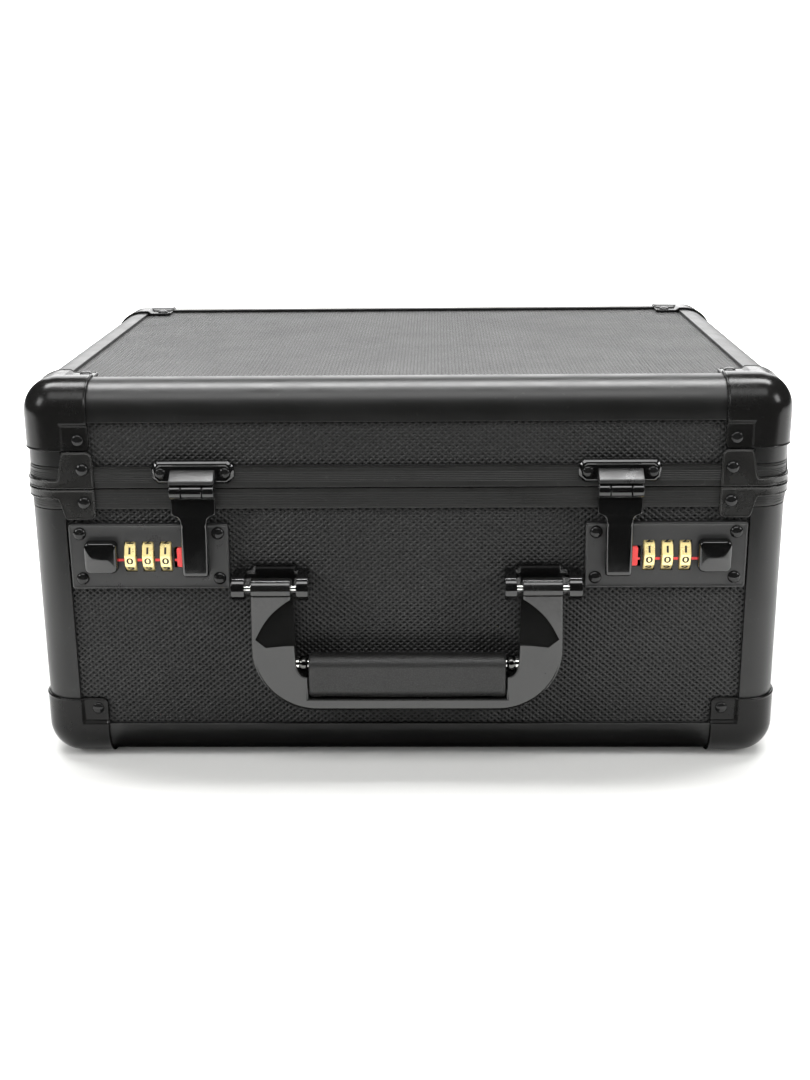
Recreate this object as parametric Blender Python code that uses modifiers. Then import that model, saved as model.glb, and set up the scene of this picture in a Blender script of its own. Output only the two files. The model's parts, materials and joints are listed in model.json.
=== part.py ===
"""Drone carrying case: a black aluminium-framed hard case with two combination latches and a folding handle.

Metres, +Z up, the front faces -Y. The origin is on the surface that the case stands on, under the middle of
its bounding box. Sizes below are in millimetres and are turned into metres by the helpers.
"""

import math

import bmesh
import bpy
from mathutils import Matrix, Vector

MM = 0.001

# Driving sizes of the shell, in millimetres. The rails' outer faces are the reference planes.
WIDTH = 350.0
DEPTH = 249.3
RAIL_BOTTOM = 1.3
RAIL_TOP = 185.0
SEAM = 136.4
SEAM_GAP = 0.4

RAIL_LEG = 18.0
RAIL_RADIUS = 15.0
RAIL_WALL = 1.5
PANEL_INSET = 1.8
PANEL_THICK = 5.0
GAP = 0.3
SLOT_END = 14.7
FLANGE_FACE = 8.3

CORNER_PROUD = 1.3
CORNER_REACH = 31.0

BASE_VALANCE_LOW = 126.7
LID_VALANCE_HIGH = 146.7
TONGUE_TOP = 138.9

# Latches: plate on the base, strike plate and hasp on the lid.
LATCH_X = 119.2
LOCK_PLATE = (74.0, 31.4)
LOCK_PLATE_Z = 104.0
LOCK_PLATE_FRONT = -1.2
HASP_X = 97.0
HASP_AXIS = (-5.6, SEAM)
DIAL_X = (128.0, 119.7, 111.4)
DIAL_RADIUS = 8.3
DIAL_WIDTH = 5.0
DIAL_AXIS = (4.2, LOCK_PLATE_Z)
SLIDER_X = 141.2
RESET_X = 104.6

# Handle: the U-shaped frame hangs on two pins.
HANDLE_AXIS = (-9.4, 91.2)
HANDLE_ARM_X = 62.3
HANDLE_HALF = 72.0
HANDLE_BOTTOM = 31.8
HANDLE_FACES = (-13.4, -5.2)
GRIP_HALF = 45.8
GRIP_Z = (38.3, 59.2)
GRIP_Y = (-16.2, -3.6)

# Hinges on the back.
HINGE_X = 105.0
HINGE_AXIS = (4.0, SEAM)
HINGE_RADIUS = 3.4

# The handle stands out further than the hinges, so the shell sits a little behind the origin.
CENTRE_Y = (-GRIP_Y[0] - HINGE_AXIS[0] - HINGE_RADIUS) / 2
FRONT = CENTRE_Y - DEPTH / 2
BACK = CENTRE_Y + DEPTH / 2

SIDES = (("left", -1), ("right", 1))


# ---------------------------------------------------------------- scene and helpers

for old in list(bpy.data.objects):
    bpy.data.objects.remove(old)

case = bpy.data.collections.new("drone_carrying_case")
cutters = bpy.data.collections.new("cutters")
bpy.context.scene.collection.children.link(case)
bpy.context.scene.collection.children.link(cutters)


def material(name, color, roughness, metallic=0.0):
    made = bpy.data.materials.new(name)
    made.use_nodes = True
    shader = made.node_tree.nodes["Principled BSDF"]
    shader.inputs["Base Color"].default_value = (*color, 1)
    shader.inputs["Roughness"].default_value = roughness
    shader.inputs["Metallic"].default_value = metallic
    return made


ANODISED = material("black_anodised", (0.025, 0.025, 0.024), 0.38, 0.8)
CORNER_STEEL = material("black_corner_steel", (0.012, 0.012, 0.012), 0.25, 0.6)
LAMINATE = material("textured_laminate", (0.02, 0.02, 0.02), 0.5)
LOCK_METAL = material("lock_plate_metal", (0.022, 0.022, 0.022), 0.4, 0.5)
GLOSS_METAL = material("latch_gloss_metal", (0.008, 0.008, 0.008), 0.15, 0.7)
BRASS = material("dial_brass", (0.85, 0.62, 0.2), 0.25, 1.0)
RED = material("reset_red", (0.8, 0.06, 0.05), 0.4)
HANDLE_PLASTIC = material("handle_gloss_plastic", (0.012, 0.012, 0.012), 0.15)
GRIP_VINYL = material("grip_vinyl", (0.02, 0.02, 0.018), 0.45)
PIN_STEEL = material("bright_pin_steel", (0.8, 0.8, 0.8), 0.15, 1.0)
FOAM = material("foam_insert", (0.03, 0.03, 0.032), 0.95)


def join_case(obj, finish, pivot=None):
    """Links a finished object into the case. A moving part's origin goes to its joint, in millimetres."""
    for collection in list(obj.users_collection):
        collection.objects.unlink(obj)
    case.objects.link(obj)
    obj.data.materials.clear()
    obj.data.materials.append(finish)
    if pivot:
        bpy.context.view_layer.update()
        place = Matrix.Translation(Vector(pivot) * MM)
        obj.data.transform(place.inverted() @ obj.matrix_world)
        obj.matrix_world = place
    return obj


def as_cutter(obj):
    """Hides a helper that only cuts or joins."""
    for collection in list(obj.users_collection):
        collection.objects.unlink(obj)
    cutters.objects.link(obj)
    obj.hide_render = True
    obj.display_type = "WIRE"
    return obj


def box(name, low, high):
    """A box between two corners given in millimetres."""
    bpy.ops.mesh.primitive_cube_add(size=1)
    obj = bpy.context.object
    obj.name = name
    low, high = Vector(low), Vector(high)
    obj.data.transform(Matrix.Diagonal((*((high - low) * MM), 1)))
    obj.location = (low + high) / 2 * MM
    return obj


def cylinder(name, radius, length, centre, sides=16):
    """A cylinder along X, centred on a point in millimetres."""
    bpy.ops.mesh.primitive_cylinder_add(vertices=sides, radius=radius * MM, depth=length * MM)
    obj = bpy.context.object
    obj.name = name
    obj.data.transform(Matrix.Rotation(math.pi / 2, 4, "Y"))
    obj.location = Vector(centre) * MM
    return obj


def arc(centre, radius, start, end, steps):
    """Points on an arc, in degrees, both ends included."""
    angles = [math.radians(start + (end - start) * i / steps) for i in range(steps + 1)]
    return [(centre[0] + radius * math.cos(a), centre[1] + radius * math.sin(a)) for a in angles]


def flat_curve(name, outlines, thickness=0.0):
    """A filled 2D curve: the first outline is the edge and the others are holes. Thickness in millimetres."""
    curve = bpy.data.curves.new(name, "CURVE")
    curve.dimensions = "2D"
    curve.fill_mode = "BOTH"
    curve.extrude = thickness / 2 * MM
    for outline in outlines:
        spline = curve.splines.new("POLY")
        spline.points.add(len(outline) - 1)
        for point, (u, v) in zip(spline.points, outline):
            point.co = (u * MM, v * MM, 0, 1)
        spline.use_cyclic_u = True
    obj = bpy.data.objects.new(name, curve)
    cutters.objects.link(obj)
    return obj


def solid_from(curve_obj):
    """The mesh object that a curve makes, with its caps welded to its sides."""
    bpy.context.view_layer.update()
    evaluated = curve_obj.evaluated_get(bpy.context.evaluated_depsgraph_get())
    mesh = bpy.data.meshes.new_from_object(evaluated)
    shape = bmesh.new()
    shape.from_mesh(mesh)
    bmesh.ops.remove_doubles(shape, verts=shape.verts, dist=1e-6)
    bmesh.ops.recalc_face_normals(shape, faces=shape.faces)
    shape.to_mesh(mesh)
    shape.free()
    name, place = curve_obj.name, curve_obj.matrix_world.copy()
    bpy.data.objects.remove(curve_obj)
    made = bpy.data.objects.new(name, mesh)
    made.matrix_world = place
    cutters.objects.link(made)
    return made


def frame_matrix(u, v, point):
    """A placement whose local X runs along u, local Y along v, at a point in millimetres."""
    u, v = Vector(u), Vector(v)
    rotation = Matrix((u, v, u.cross(v))).transposed().to_4x4()
    return Matrix.Translation(Vector(point) * MM) @ rotation


def extrusion(name, outlines, length, u, v, point):
    """An outline drawn in the u, v plane and pulled to a length, centred on a point."""
    curve = flat_curve(name, outlines, length)
    curve.matrix_world = frame_matrix(u, v, point)
    return solid_from(curve)


def side_profile(name, outlines, width, x):
    """An outline of (y, z) points measured from the front rail face, pulled along X."""
    return extrusion(name, outlines, width, (0, 1, 0), (0, 0, 1), (x, FRONT, 0))


def front_plate(name, outlines, near, far):
    """An outline of (x, z) points, between two depths measured from the front rail face."""
    middle = FRONT + (near + far) / 2
    return extrusion(name, outlines, far - near, (1, 0, 0), (0, 0, 1), (0, middle, 0))


def combine(target, others, operation="UNION"):
    """Joins or cuts with other meshes. They become hidden helpers."""
    for number, other in enumerate(others):
        step = target.modifiers.new(f"{operation.lower()}_{number}", "BOOLEAN")
        step.operation = operation
        step.object = as_cutter(other)
    return target


def bevel(obj, width, segments=2, angle=40):
    step = obj.modifiers.new("edge_rounding", "BEVEL")
    step.width = width * MM
    step.segments = segments
    step.limit_method = "ANGLE"
    step.angle_limit = math.radians(angle)
    return obj


def baked(obj):
    """A plain copy of the object's evaluated mesh, in world space."""
    bpy.context.view_layer.update()
    evaluated = obj.evaluated_get(bpy.context.evaluated_depsgraph_get())
    mesh = bpy.data.meshes.new_from_object(evaluated)
    mesh.transform(obj.matrix_world)
    return mesh


def copy_of(name, mesh, place, finish):
    """An object that holds a copy of the mesh at a placement, with its faces outward if that mirrors it."""
    copy = mesh.copy()
    copy.transform(place)
    if place.determinant() < 0:
        copy.flip_normals()
    return join_case(smooth(bpy.data.objects.new(name, copy)), finish)


def smooth(obj, angle=35):
    obj.data.shade_smooth()
    obj.data.set_sharp_from_angle(angle=math.radians(angle))
    return obj


# ---------------------------------------------------------------- shell

def rail_frame(name, ends, cap_level, up, panels):
    """The rails round one half of the case, joined at the corners under the caps.

    Ends are the lower and upper heights. The rounded end is at cap_level and up points from it into the case.
    A rounded block loses its inside, a window in each face and a slot for each panel's edges.
    """
    far = 400.0
    z_low, z_high = sorted((cap_level, cap_level + up * far))
    block = box(name, (-WIDTH / 2, FRONT, z_low), (WIDTH / 2, BACK, z_high))
    bevel(block, RAIL_RADIUS, 4).modifiers[0].limit_method = "NONE"
    trim = box(name + "_trim", (-far, -far, ends[0]), (far, far, ends[1]))
    step = block.modifiers.new("trim", "BOOLEAN")
    step.operation = "INTERSECT"
    step.object = as_cutter(trim)
    wall_low, wall_high = sorted((cap_level + up * FLANGE_FACE, cap_level + up * far))
    edge_low, edge_high = sorted((cap_level + up * RAIL_LEG, cap_level + up * far))
    half_x, leg = WIDTH / 2, RAIL_LEG
    inside = box(
        name + "_inside", (-half_x + FLANGE_FACE, FRONT + FLANGE_FACE, wall_low),
        (half_x - FLANGE_FACE, BACK - FLANGE_FACE, wall_high),
    )
    windows = [
        box(name + "_window_x", (-far, FRONT + leg, edge_low), (far, BACK - leg, edge_high)),
        box(name + "_window_y", (-half_x + leg, -far, edge_low), (half_x - leg, far, edge_high)),
        box(name + "_window_z", (-half_x + leg, FRONT + leg, -far), (half_x - leg, BACK - leg, far)),
    ]
    slots = []
    for number, one in enumerate(panels):
        low, high = corners_of(one)
        slots.append(box(f"{name}_slot_{number}", low - Vector((GAP,) * 3), high + Vector((GAP,) * 3)))
    return join_case(smooth(combine(block, [inside, *windows, *slots], "DIFFERENCE")), ANODISED)


def corners_of(obj):
    """The lowest and highest corner of an object's mesh, in millimetres."""
    bpy.context.view_layer.update()
    points = [obj.matrix_world @ vertex.co / MM for vertex in obj.data.vertices]
    low = Vector([min(point[axis] for point in points) for axis in range(3)])
    high = Vector([max(point[axis] for point in points) for axis in range(3)])
    return low, high


def base_section():
    """Section of the base's meeting rail as (depth, height): the panels' slot below, the tongue above."""
    low, high = BASE_VALANCE_LOW, SEAM - SEAM_GAP / 2
    flange_back, web = PANEL_INSET + PANEL_THICK + GAP, high - 1.3
    return [
        (0, low), (RAIL_WALL, low), (RAIL_WALL, web), (flange_back, web), (flange_back, low),
        (FLANGE_FACE, low), (FLANGE_FACE, high), (5.7, high), (5.7, TONGUE_TOP), (4.5, TONGUE_TOP),
        (4.5, high), (0, high),
    ]


def lid_section():
    """Section of the lid's meeting rail: the groove for the tongue below, the panels' slot above."""
    low, high = SEAM + SEAM_GAP / 2, LID_VALANCE_HIGH
    flange_back = PANEL_INSET + PANEL_THICK + GAP
    web_low, web_high = TONGUE_TOP + 0.6, TONGUE_TOP + 1.9
    return [
        (0, low), (RAIL_WALL, low), (RAIL_WALL, web_low), (flange_back, web_low), (flange_back, low),
        (FLANGE_FACE, low), (FLANGE_FACE, high), (flange_back, high), (flange_back, web_high),
        (RAIL_WALL, web_high), (RAIL_WALL, high), (0, high),
    ]


def meeting_rail(name, section):
    """A closed rail round the case: the section carried along the case's rounded outline."""
    half_x, half_y, r, steps = WIDTH / 2, DEPTH / 2, RAIL_RADIUS, 5
    shape = bmesh.new()
    loops = []
    for cx, cy, start in ((1, 1, 0), (-1, 1, 90), (-1, -1, 180), (1, -1, 270)):
        centre = Vector((cx * (half_x - r), CENTRE_Y + cy * (half_y - r), 0))
        for step in range(steps + 1):
            angle = math.radians(start + 90 * step / steps)
            out = Vector((math.cos(angle), math.sin(angle), 0))
            points = [centre + out * (r - depth) + Vector((0, 0, z)) for depth, z in section]
            loops.append([shape.verts.new(point * MM) for point in points])
    for first, second in zip(loops, loops[1:] + loops[:1]):
        for i in range(len(section)):
            j = (i + 1) % len(section)
            shape.faces.new((first[i], second[i], second[j], first[j]))
    bmesh.ops.recalc_face_normals(shape, faces=shape.faces)
    mesh = bpy.data.meshes.new(name)
    shape.to_mesh(mesh)
    shape.free()
    return join_case(smooth(bpy.data.objects.new(name, mesh)), ANODISED)


def panel(name, low, high):
    return join_case(box(name, low, high), LAMINATE)


def wall_panels(prefix, low, high):
    """The four upright panels between two heights, front first."""
    skin, core = PANEL_INSET, PANEL_INSET + PANEL_THICK
    edge, margin = WIDTH / 2, SLOT_END + GAP
    span = edge - margin
    y_ends = (FRONT + margin, BACK - margin)
    return [
        panel(f"{prefix}_front_panel", (-span, FRONT + skin, low), (span, FRONT + core, high)),
        panel(f"{prefix}_back_panel", (-span, BACK - core, low), (span, BACK - skin, high)),
        panel(f"{prefix}_left_panel", (-edge + skin, y_ends[0], low), (-edge + core, y_ends[1], high)),
        panel(f"{prefix}_right_panel", (edge - core, y_ends[0], low), (edge - skin, y_ends[1], high)),
    ]


def level_panel(name, low, high):
    """The bottom or the top panel."""
    margin = SLOT_END + GAP
    x_end = WIDTH / 2 - margin
    return panel(name, (-x_end, FRONT + margin, low), (x_end, BACK - margin, high))


def corner_block(name, outer_face, radius):
    """A big cube whose rounded corner is the case's corner; its faces stand at outer_face."""
    span = 90.0
    block = box(name, (outer_face,) * 3, (span,) * 3)
    bevel(block, radius, 4).modifiers[0].limit_method = "NONE"
    return block


def corner_cap_mesh():
    """One riveted corner cap, in inward coordinates from the corner of the reference planes.

    A thin rounded shell over the three rails, with a lower pad on each panel for the rivet.
    """
    wall = GAP
    pad_inner = RAIL_LEG + 0.5
    pad_outer = RAIL_LEG + 1.7
    far = 60.0
    inner = corner_block("corner_inner", -wall, RAIL_RADIUS + wall)
    slabs, recesses = [], []
    for axis in range(3):
        low, high = [pad_inner] * 3, [far] * 3
        low[axis], high[axis] = -5.0, PANEL_INSET - GAP
        slabs.append(box(f"pad_slab_{axis}", low, high))
        low, high = [pad_outer] * 3, [far] * 3
        low[axis], high[axis] = -5.0, PANEL_INSET - GAP - 1.2
        recesses.append(box(f"pad_recess_{axis}", low, high))
    combine(inner, slabs, "DIFFERENCE")
    outer = corner_block("corner_outer", -CORNER_PROUD, RAIL_RADIUS + CORNER_PROUD)
    trim = box("corner_trim", (-5,) * 3, (CORNER_REACH,) * 3)
    step = outer.modifiers.new("trim", "BOOLEAN")
    step.operation = "INTERSECT"
    step.object = as_cutter(trim)
    combine(outer, [inner, *recesses], "DIFFERENCE")
    seat, in_pad = PANEL_INSET - GAP - 1.2, 26.0
    for axis in range(3):
        out, spot = [0, 0, 0], [in_pad] * 3
        out[axis], spot[axis] = -1, seat
        add_rivet(outer, out, spot, height=1.4)
    mesh = baked(outer)
    bpy.data.objects.remove(outer)
    return mesh


CORNERS = (
    ("front_left", -1, -1), ("front_right", 1, -1), ("back_left", -1, 1), ("back_right", 1, 1),
)


def at_corners(prefix, mesh, level, up):
    """Puts a part made in inward coordinates on the four corners of one level."""
    for name, sx, sy in CORNERS:
        move = Matrix.Translation(Vector((sx * WIDTH / 2, CENTRE_Y + sy * DEPTH / 2, level)) * MM)
        copy_of(f"{prefix}_{name}", mesh, move @ Matrix.Diagonal((-sx, -sy, up, 1)), CORNER_STEEL)


def bracket_mesh(band, tab, rivet_z):
    """One corner bracket of a meeting rail: a band round the corner with a tab on each face.

    Band and tab are (low, high) heights. Inward coordinates, as for the corner caps.
    """
    near, far = -1.3, -GAP
    tab_start, tab_end = 17.3, 32.4
    r = RAIL_RADIUS
    edge = [(tab_end, near), *arc((r, r), r - near, 270, 180, 5), (near, tab_end)]
    edge += [(far, tab_end), *arc((r, r), r - far, 180, 270, 5), (tab_end, far)]
    middle = (0, 0, sum(band) / 2)
    ring = extrusion("bracket_band", [edge], band[1] - band[0], (1, 0, 0), (0, 1, 0), middle)
    front = box("bracket_tab_front", (tab_start, near, tab[0]), (tab_end, far, tab[1]))
    side = box("bracket_tab_side", (near, tab_start, tab[0]), (far, tab_end, tab[1]))
    combine(ring, [front, side])
    for out, spot in (((0, -1, 0), (27.4, near, rivet_z)), ((-1, 0, 0), (near, 27.4, rivet_z))):
        add_rivet(ring, out, spot)
    mesh = baked(ring)
    bpy.data.objects.remove(ring)
    return mesh


def add_rivet(target, direction, point, radius=2.5, height=1.7):
    """Joins a domed rivet head to the piece that it holds. The point is on the piece's face."""
    sunk = 0.4
    head = bpy.data.objects.new("rivet", rivet_head(radius, height, sunk))
    cutters.objects.link(head)
    turn = Vector(direction).to_track_quat("Z", "Y").to_matrix().to_4x4()
    head.matrix_world = Matrix.Translation(Vector(point) * MM) @ turn
    number = len(target.modifiers)
    step = target.modifiers.new(f"rivet_{number}", "BOOLEAN")
    step.operation = "UNION"
    step.object = as_cutter(head)


def rivet_head(radius, height, sunk):
    """A dome on Z over a short stem, closed."""
    steps, lip = 2, 0.3
    rows = [(radius, -sunk)]
    for i in range(steps):
        angle = math.pi / 2 * i / steps
        rows.append((radius * math.cos(angle), lip + (height - lip) * math.sin(angle)))
    shape = bmesh.new()
    sides = 8
    rings = []
    for r, z in rows:
        angles = [2 * math.pi * k / sides for k in range(sides)]
        rings.append([shape.verts.new((r * math.cos(a) * MM, r * math.sin(a) * MM, z * MM)) for a in angles])
    for first, second in zip(rings, rings[1:]):
        for k in range(sides):
            shape.faces.new((first[k], first[(k + 1) % sides], second[(k + 1) % sides], second[k]))
    shape.faces.new(list(reversed(rings[0])))
    tip = shape.verts.new((0, 0, height * MM))
    for k in range(sides):
        shape.faces.new((rings[-1][k], rings[-1][(k + 1) % sides], tip))
    mesh = bpy.data.meshes.new("rivet")
    shape.to_mesh(mesh)
    shape.free()
    return mesh


# ---------------------------------------------------------------- latches

SLIDER_SIZE = (15.4, 15.4)
SLIDER_TRAVEL = 5.0
RESET_TRAVEL = 1.2
NECK_X = 139.0
HASP_SLOT = ((92.6, 101.4), (99.0, 106.0))


def lock_windows(side):
    """The openings in a lock plate's face, as (x, z) ranges."""
    z = LOCK_PLATE_Z
    half = DIAL_WIDTH / 2 + 0.35
    spans = [((x - half, x + half), (z - 7.3, z + 7.3)) for x in DIAL_X]
    spans.append(((NECK_X - 2.8, NECK_X + 2.8 + SLIDER_TRAVEL), (z - 3.4, z + 3.4)))
    spans.append(((RESET_X - 2.0, RESET_X + 2.0 + RESET_TRAVEL), (z - 5.3, z + 4.7)))
    spans.append(HASP_SLOT)
    return [(sorted((side * low, side * high)), heights) for (low, high), heights in spans]


def lock_plate(name, side):
    """The stamped plate: a thin face with a rim that stands on the panel, and four rivets."""
    x, z = side * LATCH_X, LOCK_PLATE_Z
    half_x, half_z, rim, face = LOCK_PLATE[0] / 2, LOCK_PLATE[1] / 2, 1.2, 1.0
    near = FRONT + LOCK_PLATE_FRONT
    plate = box(name, (x - half_x, near, z - half_z), (x + half_x, FRONT + PANEL_INSET - GAP, z + half_z))
    cuts = [box(
        name + "_hollow", (x - half_x + rim, near + face, z - half_z + rim),
        (x + half_x - rim, FRONT + 5, z + half_z - rim),
    )]
    for (x_low, x_high), (z_low, z_high) in lock_windows(side):
        cuts.append(box(name + "_window", (x_low, near - 2, z_low), (x_high, FRONT + 2, z_high)))
    combine(plate, cuts, "DIFFERENCE")
    for rivet_x in (87.0, 151.0):
        for rivet_z in (93.4, 115.2):
            add_rivet(plate, (0, -1, 0), (side * rivet_x, near, rivet_z))
    join_case(plate, LOCK_METAL)


def lock_housing(name, side):
    """The pan behind the lock plate, with the two stands and the axle that carry the dials."""
    near, far, z_half = PANEL_INSET, 14.3, 12.6
    x_low, x_high = sorted((side * 88.6, side * 149.4))
    z = LOCK_PLATE_Z
    pan = box(name, (x_low, FRONT + near, z - z_half), (x_high, FRONT + far, z + z_half))
    hollow = box(
        name + "_hollow", (x_low + 1, FRONT + near - 2, z - z_half + 1),
        (x_high - 1, FRONT + far - 1, z + z_half - 1),
    )
    combine(pan, [hollow], "DIFFERENCE")
    axle = cylinder(name + "_axle", 1.5, 27.0, (side * 119.7, FRONT + DIAL_AXIS[0], DIAL_AXIS[1]), 12)
    stands = []
    for x in (107.2, 132.2):
        stands.append(box(
            name + "_stand", (side * x - 0.8, FRONT + DIAL_AXIS[0] - 2.2, z - 2.6),
            (side * x + 0.8, FRONT + far - 0.5, z + 2.6),
        ))
    join_case(combine(pan, [*stands, axle]), LOCK_METAL)


def dial(name, x):
    """A number wheel with a bore for the axle; ten shallow flats round its rim."""
    rim = [point for k in range(10) for point in arc((0, 0), DIAL_RADIUS, k * 36 + 4, k * 36 + 32, 2)]
    bore = arc((0, 0), 1.8, 0, 360 - 36, 9)
    pivot = (x, FRONT + DIAL_AXIS[0], DIAL_AXIS[1])
    wheel = extrusion(name, [rim, bore], DIAL_WIDTH, (0, 1, 0), (0, 0, 1), pivot)
    join_case(wheel, BRASS, pivot)


def slider(name, side):
    """The push button with its neck through the plate and a foot behind it."""
    z, x, neck_x = LOCK_PLATE_Z, side * SLIDER_X, side * NECK_X
    half_x, half_z = SLIDER_SIZE[0] / 2, SLIDER_SIZE[1] / 2
    out, lift = LOCK_PLATE_FRONT - GAP, 0.5
    button = box(
        name, (x - half_x, FRONT - 6.8, z - half_z + lift), (x + half_x, FRONT + out, z + half_z + lift)
    )
    bevel(button, 1.4, 2)
    neck = box(name + "_neck", (neck_x - 2.4, FRONT + out - 1, z - 3), (neck_x + 2.4, FRONT + 1.0, z + 3))
    foot = box(name + "_foot", (neck_x - 3.4, FRONT + 0.2, z - 5.5), (neck_x + 3.4, FRONT + 1.5, z + 5.5))
    join_case(combine(button, [neck, foot]), GLOSS_METAL, (x, FRONT, z))


def reset_tab(name, side):
    """The red reset tab, in its slot in the plate."""
    x, z = side * RESET_X, LOCK_PLATE_Z
    tab = box(name, (x - 1.7, FRONT - 1.7, z - 5.0), (x + 1.7, FRONT + 1.3, z + 4.4))
    join_case(tab, RED, (x, FRONT, z))


def knuckle(name, width, x, bored):
    """A knuckle of the latch's hinge."""
    outlines = [arc(HASP_AXIS, 3.6, 0, 360 - 30, 11)]
    if bored:
        outlines.append(arc(HASP_AXIS, 1.6, 0, 360 - 36, 9))
    return side_profile(name, outlines, width, x)


def strike_plate(name, side):
    """The riveted plate on the lid with the sloped tongue and the two outer knuckles."""
    x, (y, z) = side * HASP_X, HASP_AXIS
    low, high, half, cut = 138.8, 149.8, 18.8, 2.8
    outline = [
        (x - half + cut, low), (x + half - cut, low), (x + half, low + cut), (x + half, high - cut),
        (x + half - cut, high), (x - half + cut, high), (x - half, high - cut), (x - half, low + cut),
    ]
    plate = front_plate(name, [outline], -2.4, -GAP)
    tongue = [(-1.0, 145.6), (-2.3, 145.6), (y - 3.2, 141.6)]
    tongue += [(y - 3.2, 140.4), (y + 1.2, 140.4), (-1.0, 143.0)]
    parts = [side_profile(name + "_tongue", [tongue], 20.4, x)]
    for shift in (-7.6, 7.6):
        leg = [(y - 3.0, z + 1.2), (y - 0.2, z + 2.0), (y - 0.2, 141.0), (y - 3.0, 141.0)]
        parts.append(knuckle(name + "_knuckle", 5.2, x + shift, False))
        parts.append(side_profile(name + "_leg", [leg], 4.8, x + shift))
    parts.append(cylinder(name + "_pin", 1.3, 19.0, (x, FRONT + y, z), 12))
    combine(plate, parts)
    for shift in (-14.7, 14.7):
        add_rivet(plate, (0, -1, 0), (x + shift, FRONT - 2.4, 144.2), 2.0, 1.3)
    join_case(smooth(plate), GLOSS_METAL)


def hasp(name, side):
    """The hinged latch flap: middle knuckle, wide neck and the raised tongue over the lock plate."""
    x, (y, z) = side * HASP_X, HASP_AXIS
    wide, narrow = 10.2, 6.1
    neck = [
        (x - wide, 131.8), (x - wide, 125.6), (x - 8.6, 123.2), (x - 6.9, 120.6), (x - narrow, 117.0),
        (x - narrow, 98.0), (x + narrow, 98.0), (x + narrow, 117.0), (x + 6.9, 120.6), (x + 8.6, 123.2),
        (x + wide, 125.6), (x + wide, 131.8),
    ]
    body = front_plate(name, [neck], -6.2, -4.0)
    cover = box(name + "_cover", (x - narrow, FRONT - 8.4, 95.8), (x + narrow, FRONT - 2.2, 121.4))
    bevel(cover, 1.6, 2)
    lug = box(name + "_lug", (x - 3.6, FRONT - 3.0, 99.6), (x + 3.6, FRONT + 0.6, 105.4))
    outline = [(y - 2.8, z - 1.8), (y - 2.8, z - 5.6), (y + 1.2, z - 5.6), (y + 1.2, z - 2.6)]
    leg = side_profile(name + "_leg", [outline], 9.0, x)
    middle = knuckle(name + "_knuckle", 9.4, x, True)
    pivot = (x, FRONT + y, z)
    join_case(smooth(combine(body, [cover, lug, leg, middle])), GLOSS_METAL, pivot)


# ---------------------------------------------------------------- handle and hinges

PIN_RADIUS = 1.5
PIN_BORE = 1.8


def handle_bracket(name, side):
    """The bracket on the front panel: a plate with an upper tab, two ears and the pin riveted in them."""
    y, z = HANDLE_AXIS
    inner, outer = (45.0, 50.6), (74.2, 80.4)
    near, far = -0.5, PANEL_INSET - GAP
    outline = [
        (inner[0], z - 6.2), (outer[1], z - 6.2), (outer[1], z + 6.2), (72.4, z + 6.2),
        (72.4, z + 8.8), (51.2, z + 8.8), (51.2, z + 6.2), (inner[0], z + 6.2),
    ]
    plate = front_plate(name, [[(side * px, pz) for px, pz in outline]], near, far)
    parts = []
    for low, high in (inner, outer):
        ear = [(0.5, z - 6.0), (0.5, z + 6.0), *arc((y + 1.0, z), 6.0, 90, 270, 8)]
        parts.append(side_profile(name + "_ear", [ear], high - low - 0.1, side * (low + high) / 2))
    pin_low, pin_high = 43.6, 80.0
    parts.append(cylinder(
        name + "_pin", PIN_RADIUS, pin_high - pin_low, (side * (pin_low + pin_high) / 2, FRONT + y, z), 12
    ))
    join_case(smooth(combine(plate, parts)), GLOSS_METAL)


def handle_outline():
    """The handle frame from the front: two arms, round lower corners and the bar under the grip."""
    half, low, r = HANDLE_HALF, HANDLE_BOTTOM, 30.0
    arm_top, inner = HANDLE_AXIS[1], 53.2
    right = arc((half - r, low + r), r, -90, 0, 8)
    right += [(half - 0.6, arm_top), (inner, arm_top), (52.0, 64.0)]
    right += [(51.6, 57.0), (50.2, 51.8), (47.6, 49.4), (46.2, 49.0), (46.2, 37.9)]
    left = [(-x, z) for x, z in reversed(right)]
    return right + left


def handle_frame():
    """The U-shaped frame with a barrel at the top of each arm."""
    body = front_plate("handle_frame", [handle_outline()], *HANDLE_FACES)
    y, z = HANDLE_AXIS
    parts, bores = [], []
    for _, side in SIDES:
        middle = side * HANDLE_ARM_X
        parts.append(cylinder("handle_barrel", 4.9, 18.4, (middle, FRONT + y, z), 16))
        bores.append(cylinder("handle_bore", PIN_BORE, 30, (middle, FRONT + y, z), 12))
    combine(body, parts)
    bores.append(cylinder("rod_bore", ROD[2] + GAP, 2 * (ROD_HALF + GAP), (0, FRONT + ROD[0], ROD[1]), 12))
    combine(body, bores, "DIFFERENCE")
    join_case(smooth(body), HANDLE_PLASTIC, (0, FRONT + y, z))


ROD = (-10.2, 54.4, 2.6)
ROD_HALF = 58.0


def grip():
    """The padded grip between the arms, bored for the core rod."""
    low, high = (-GRIP_HALF, FRONT + GRIP_Y[0], GRIP_Z[0]), (GRIP_HALF, FRONT + GRIP_Y[1], GRIP_Z[1])
    pad = box("handle_grip", low, high)
    bevel(pad, 4.4, 3)
    bore = cylinder("grip_bore", ROD[2] + GAP, 120, (0, FRONT + ROD[0], ROD[1]), 12)
    join_case(combine(pad, [bore], "DIFFERENCE"), GRIP_VINYL, (0, FRONT + HANDLE_AXIS[0], HANDLE_AXIS[1]))


def grip_rod():
    """The core rod of the grip. It runs into the two arms."""
    rod = cylinder("handle_grip_rod", ROD[2], 2 * ROD_HALF, (0, FRONT + ROD[0], ROD[1]), 12)
    join_case(rod, PIN_STEEL, (0, FRONT + HANDLE_AXIS[0], HANDLE_AXIS[1]))


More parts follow.
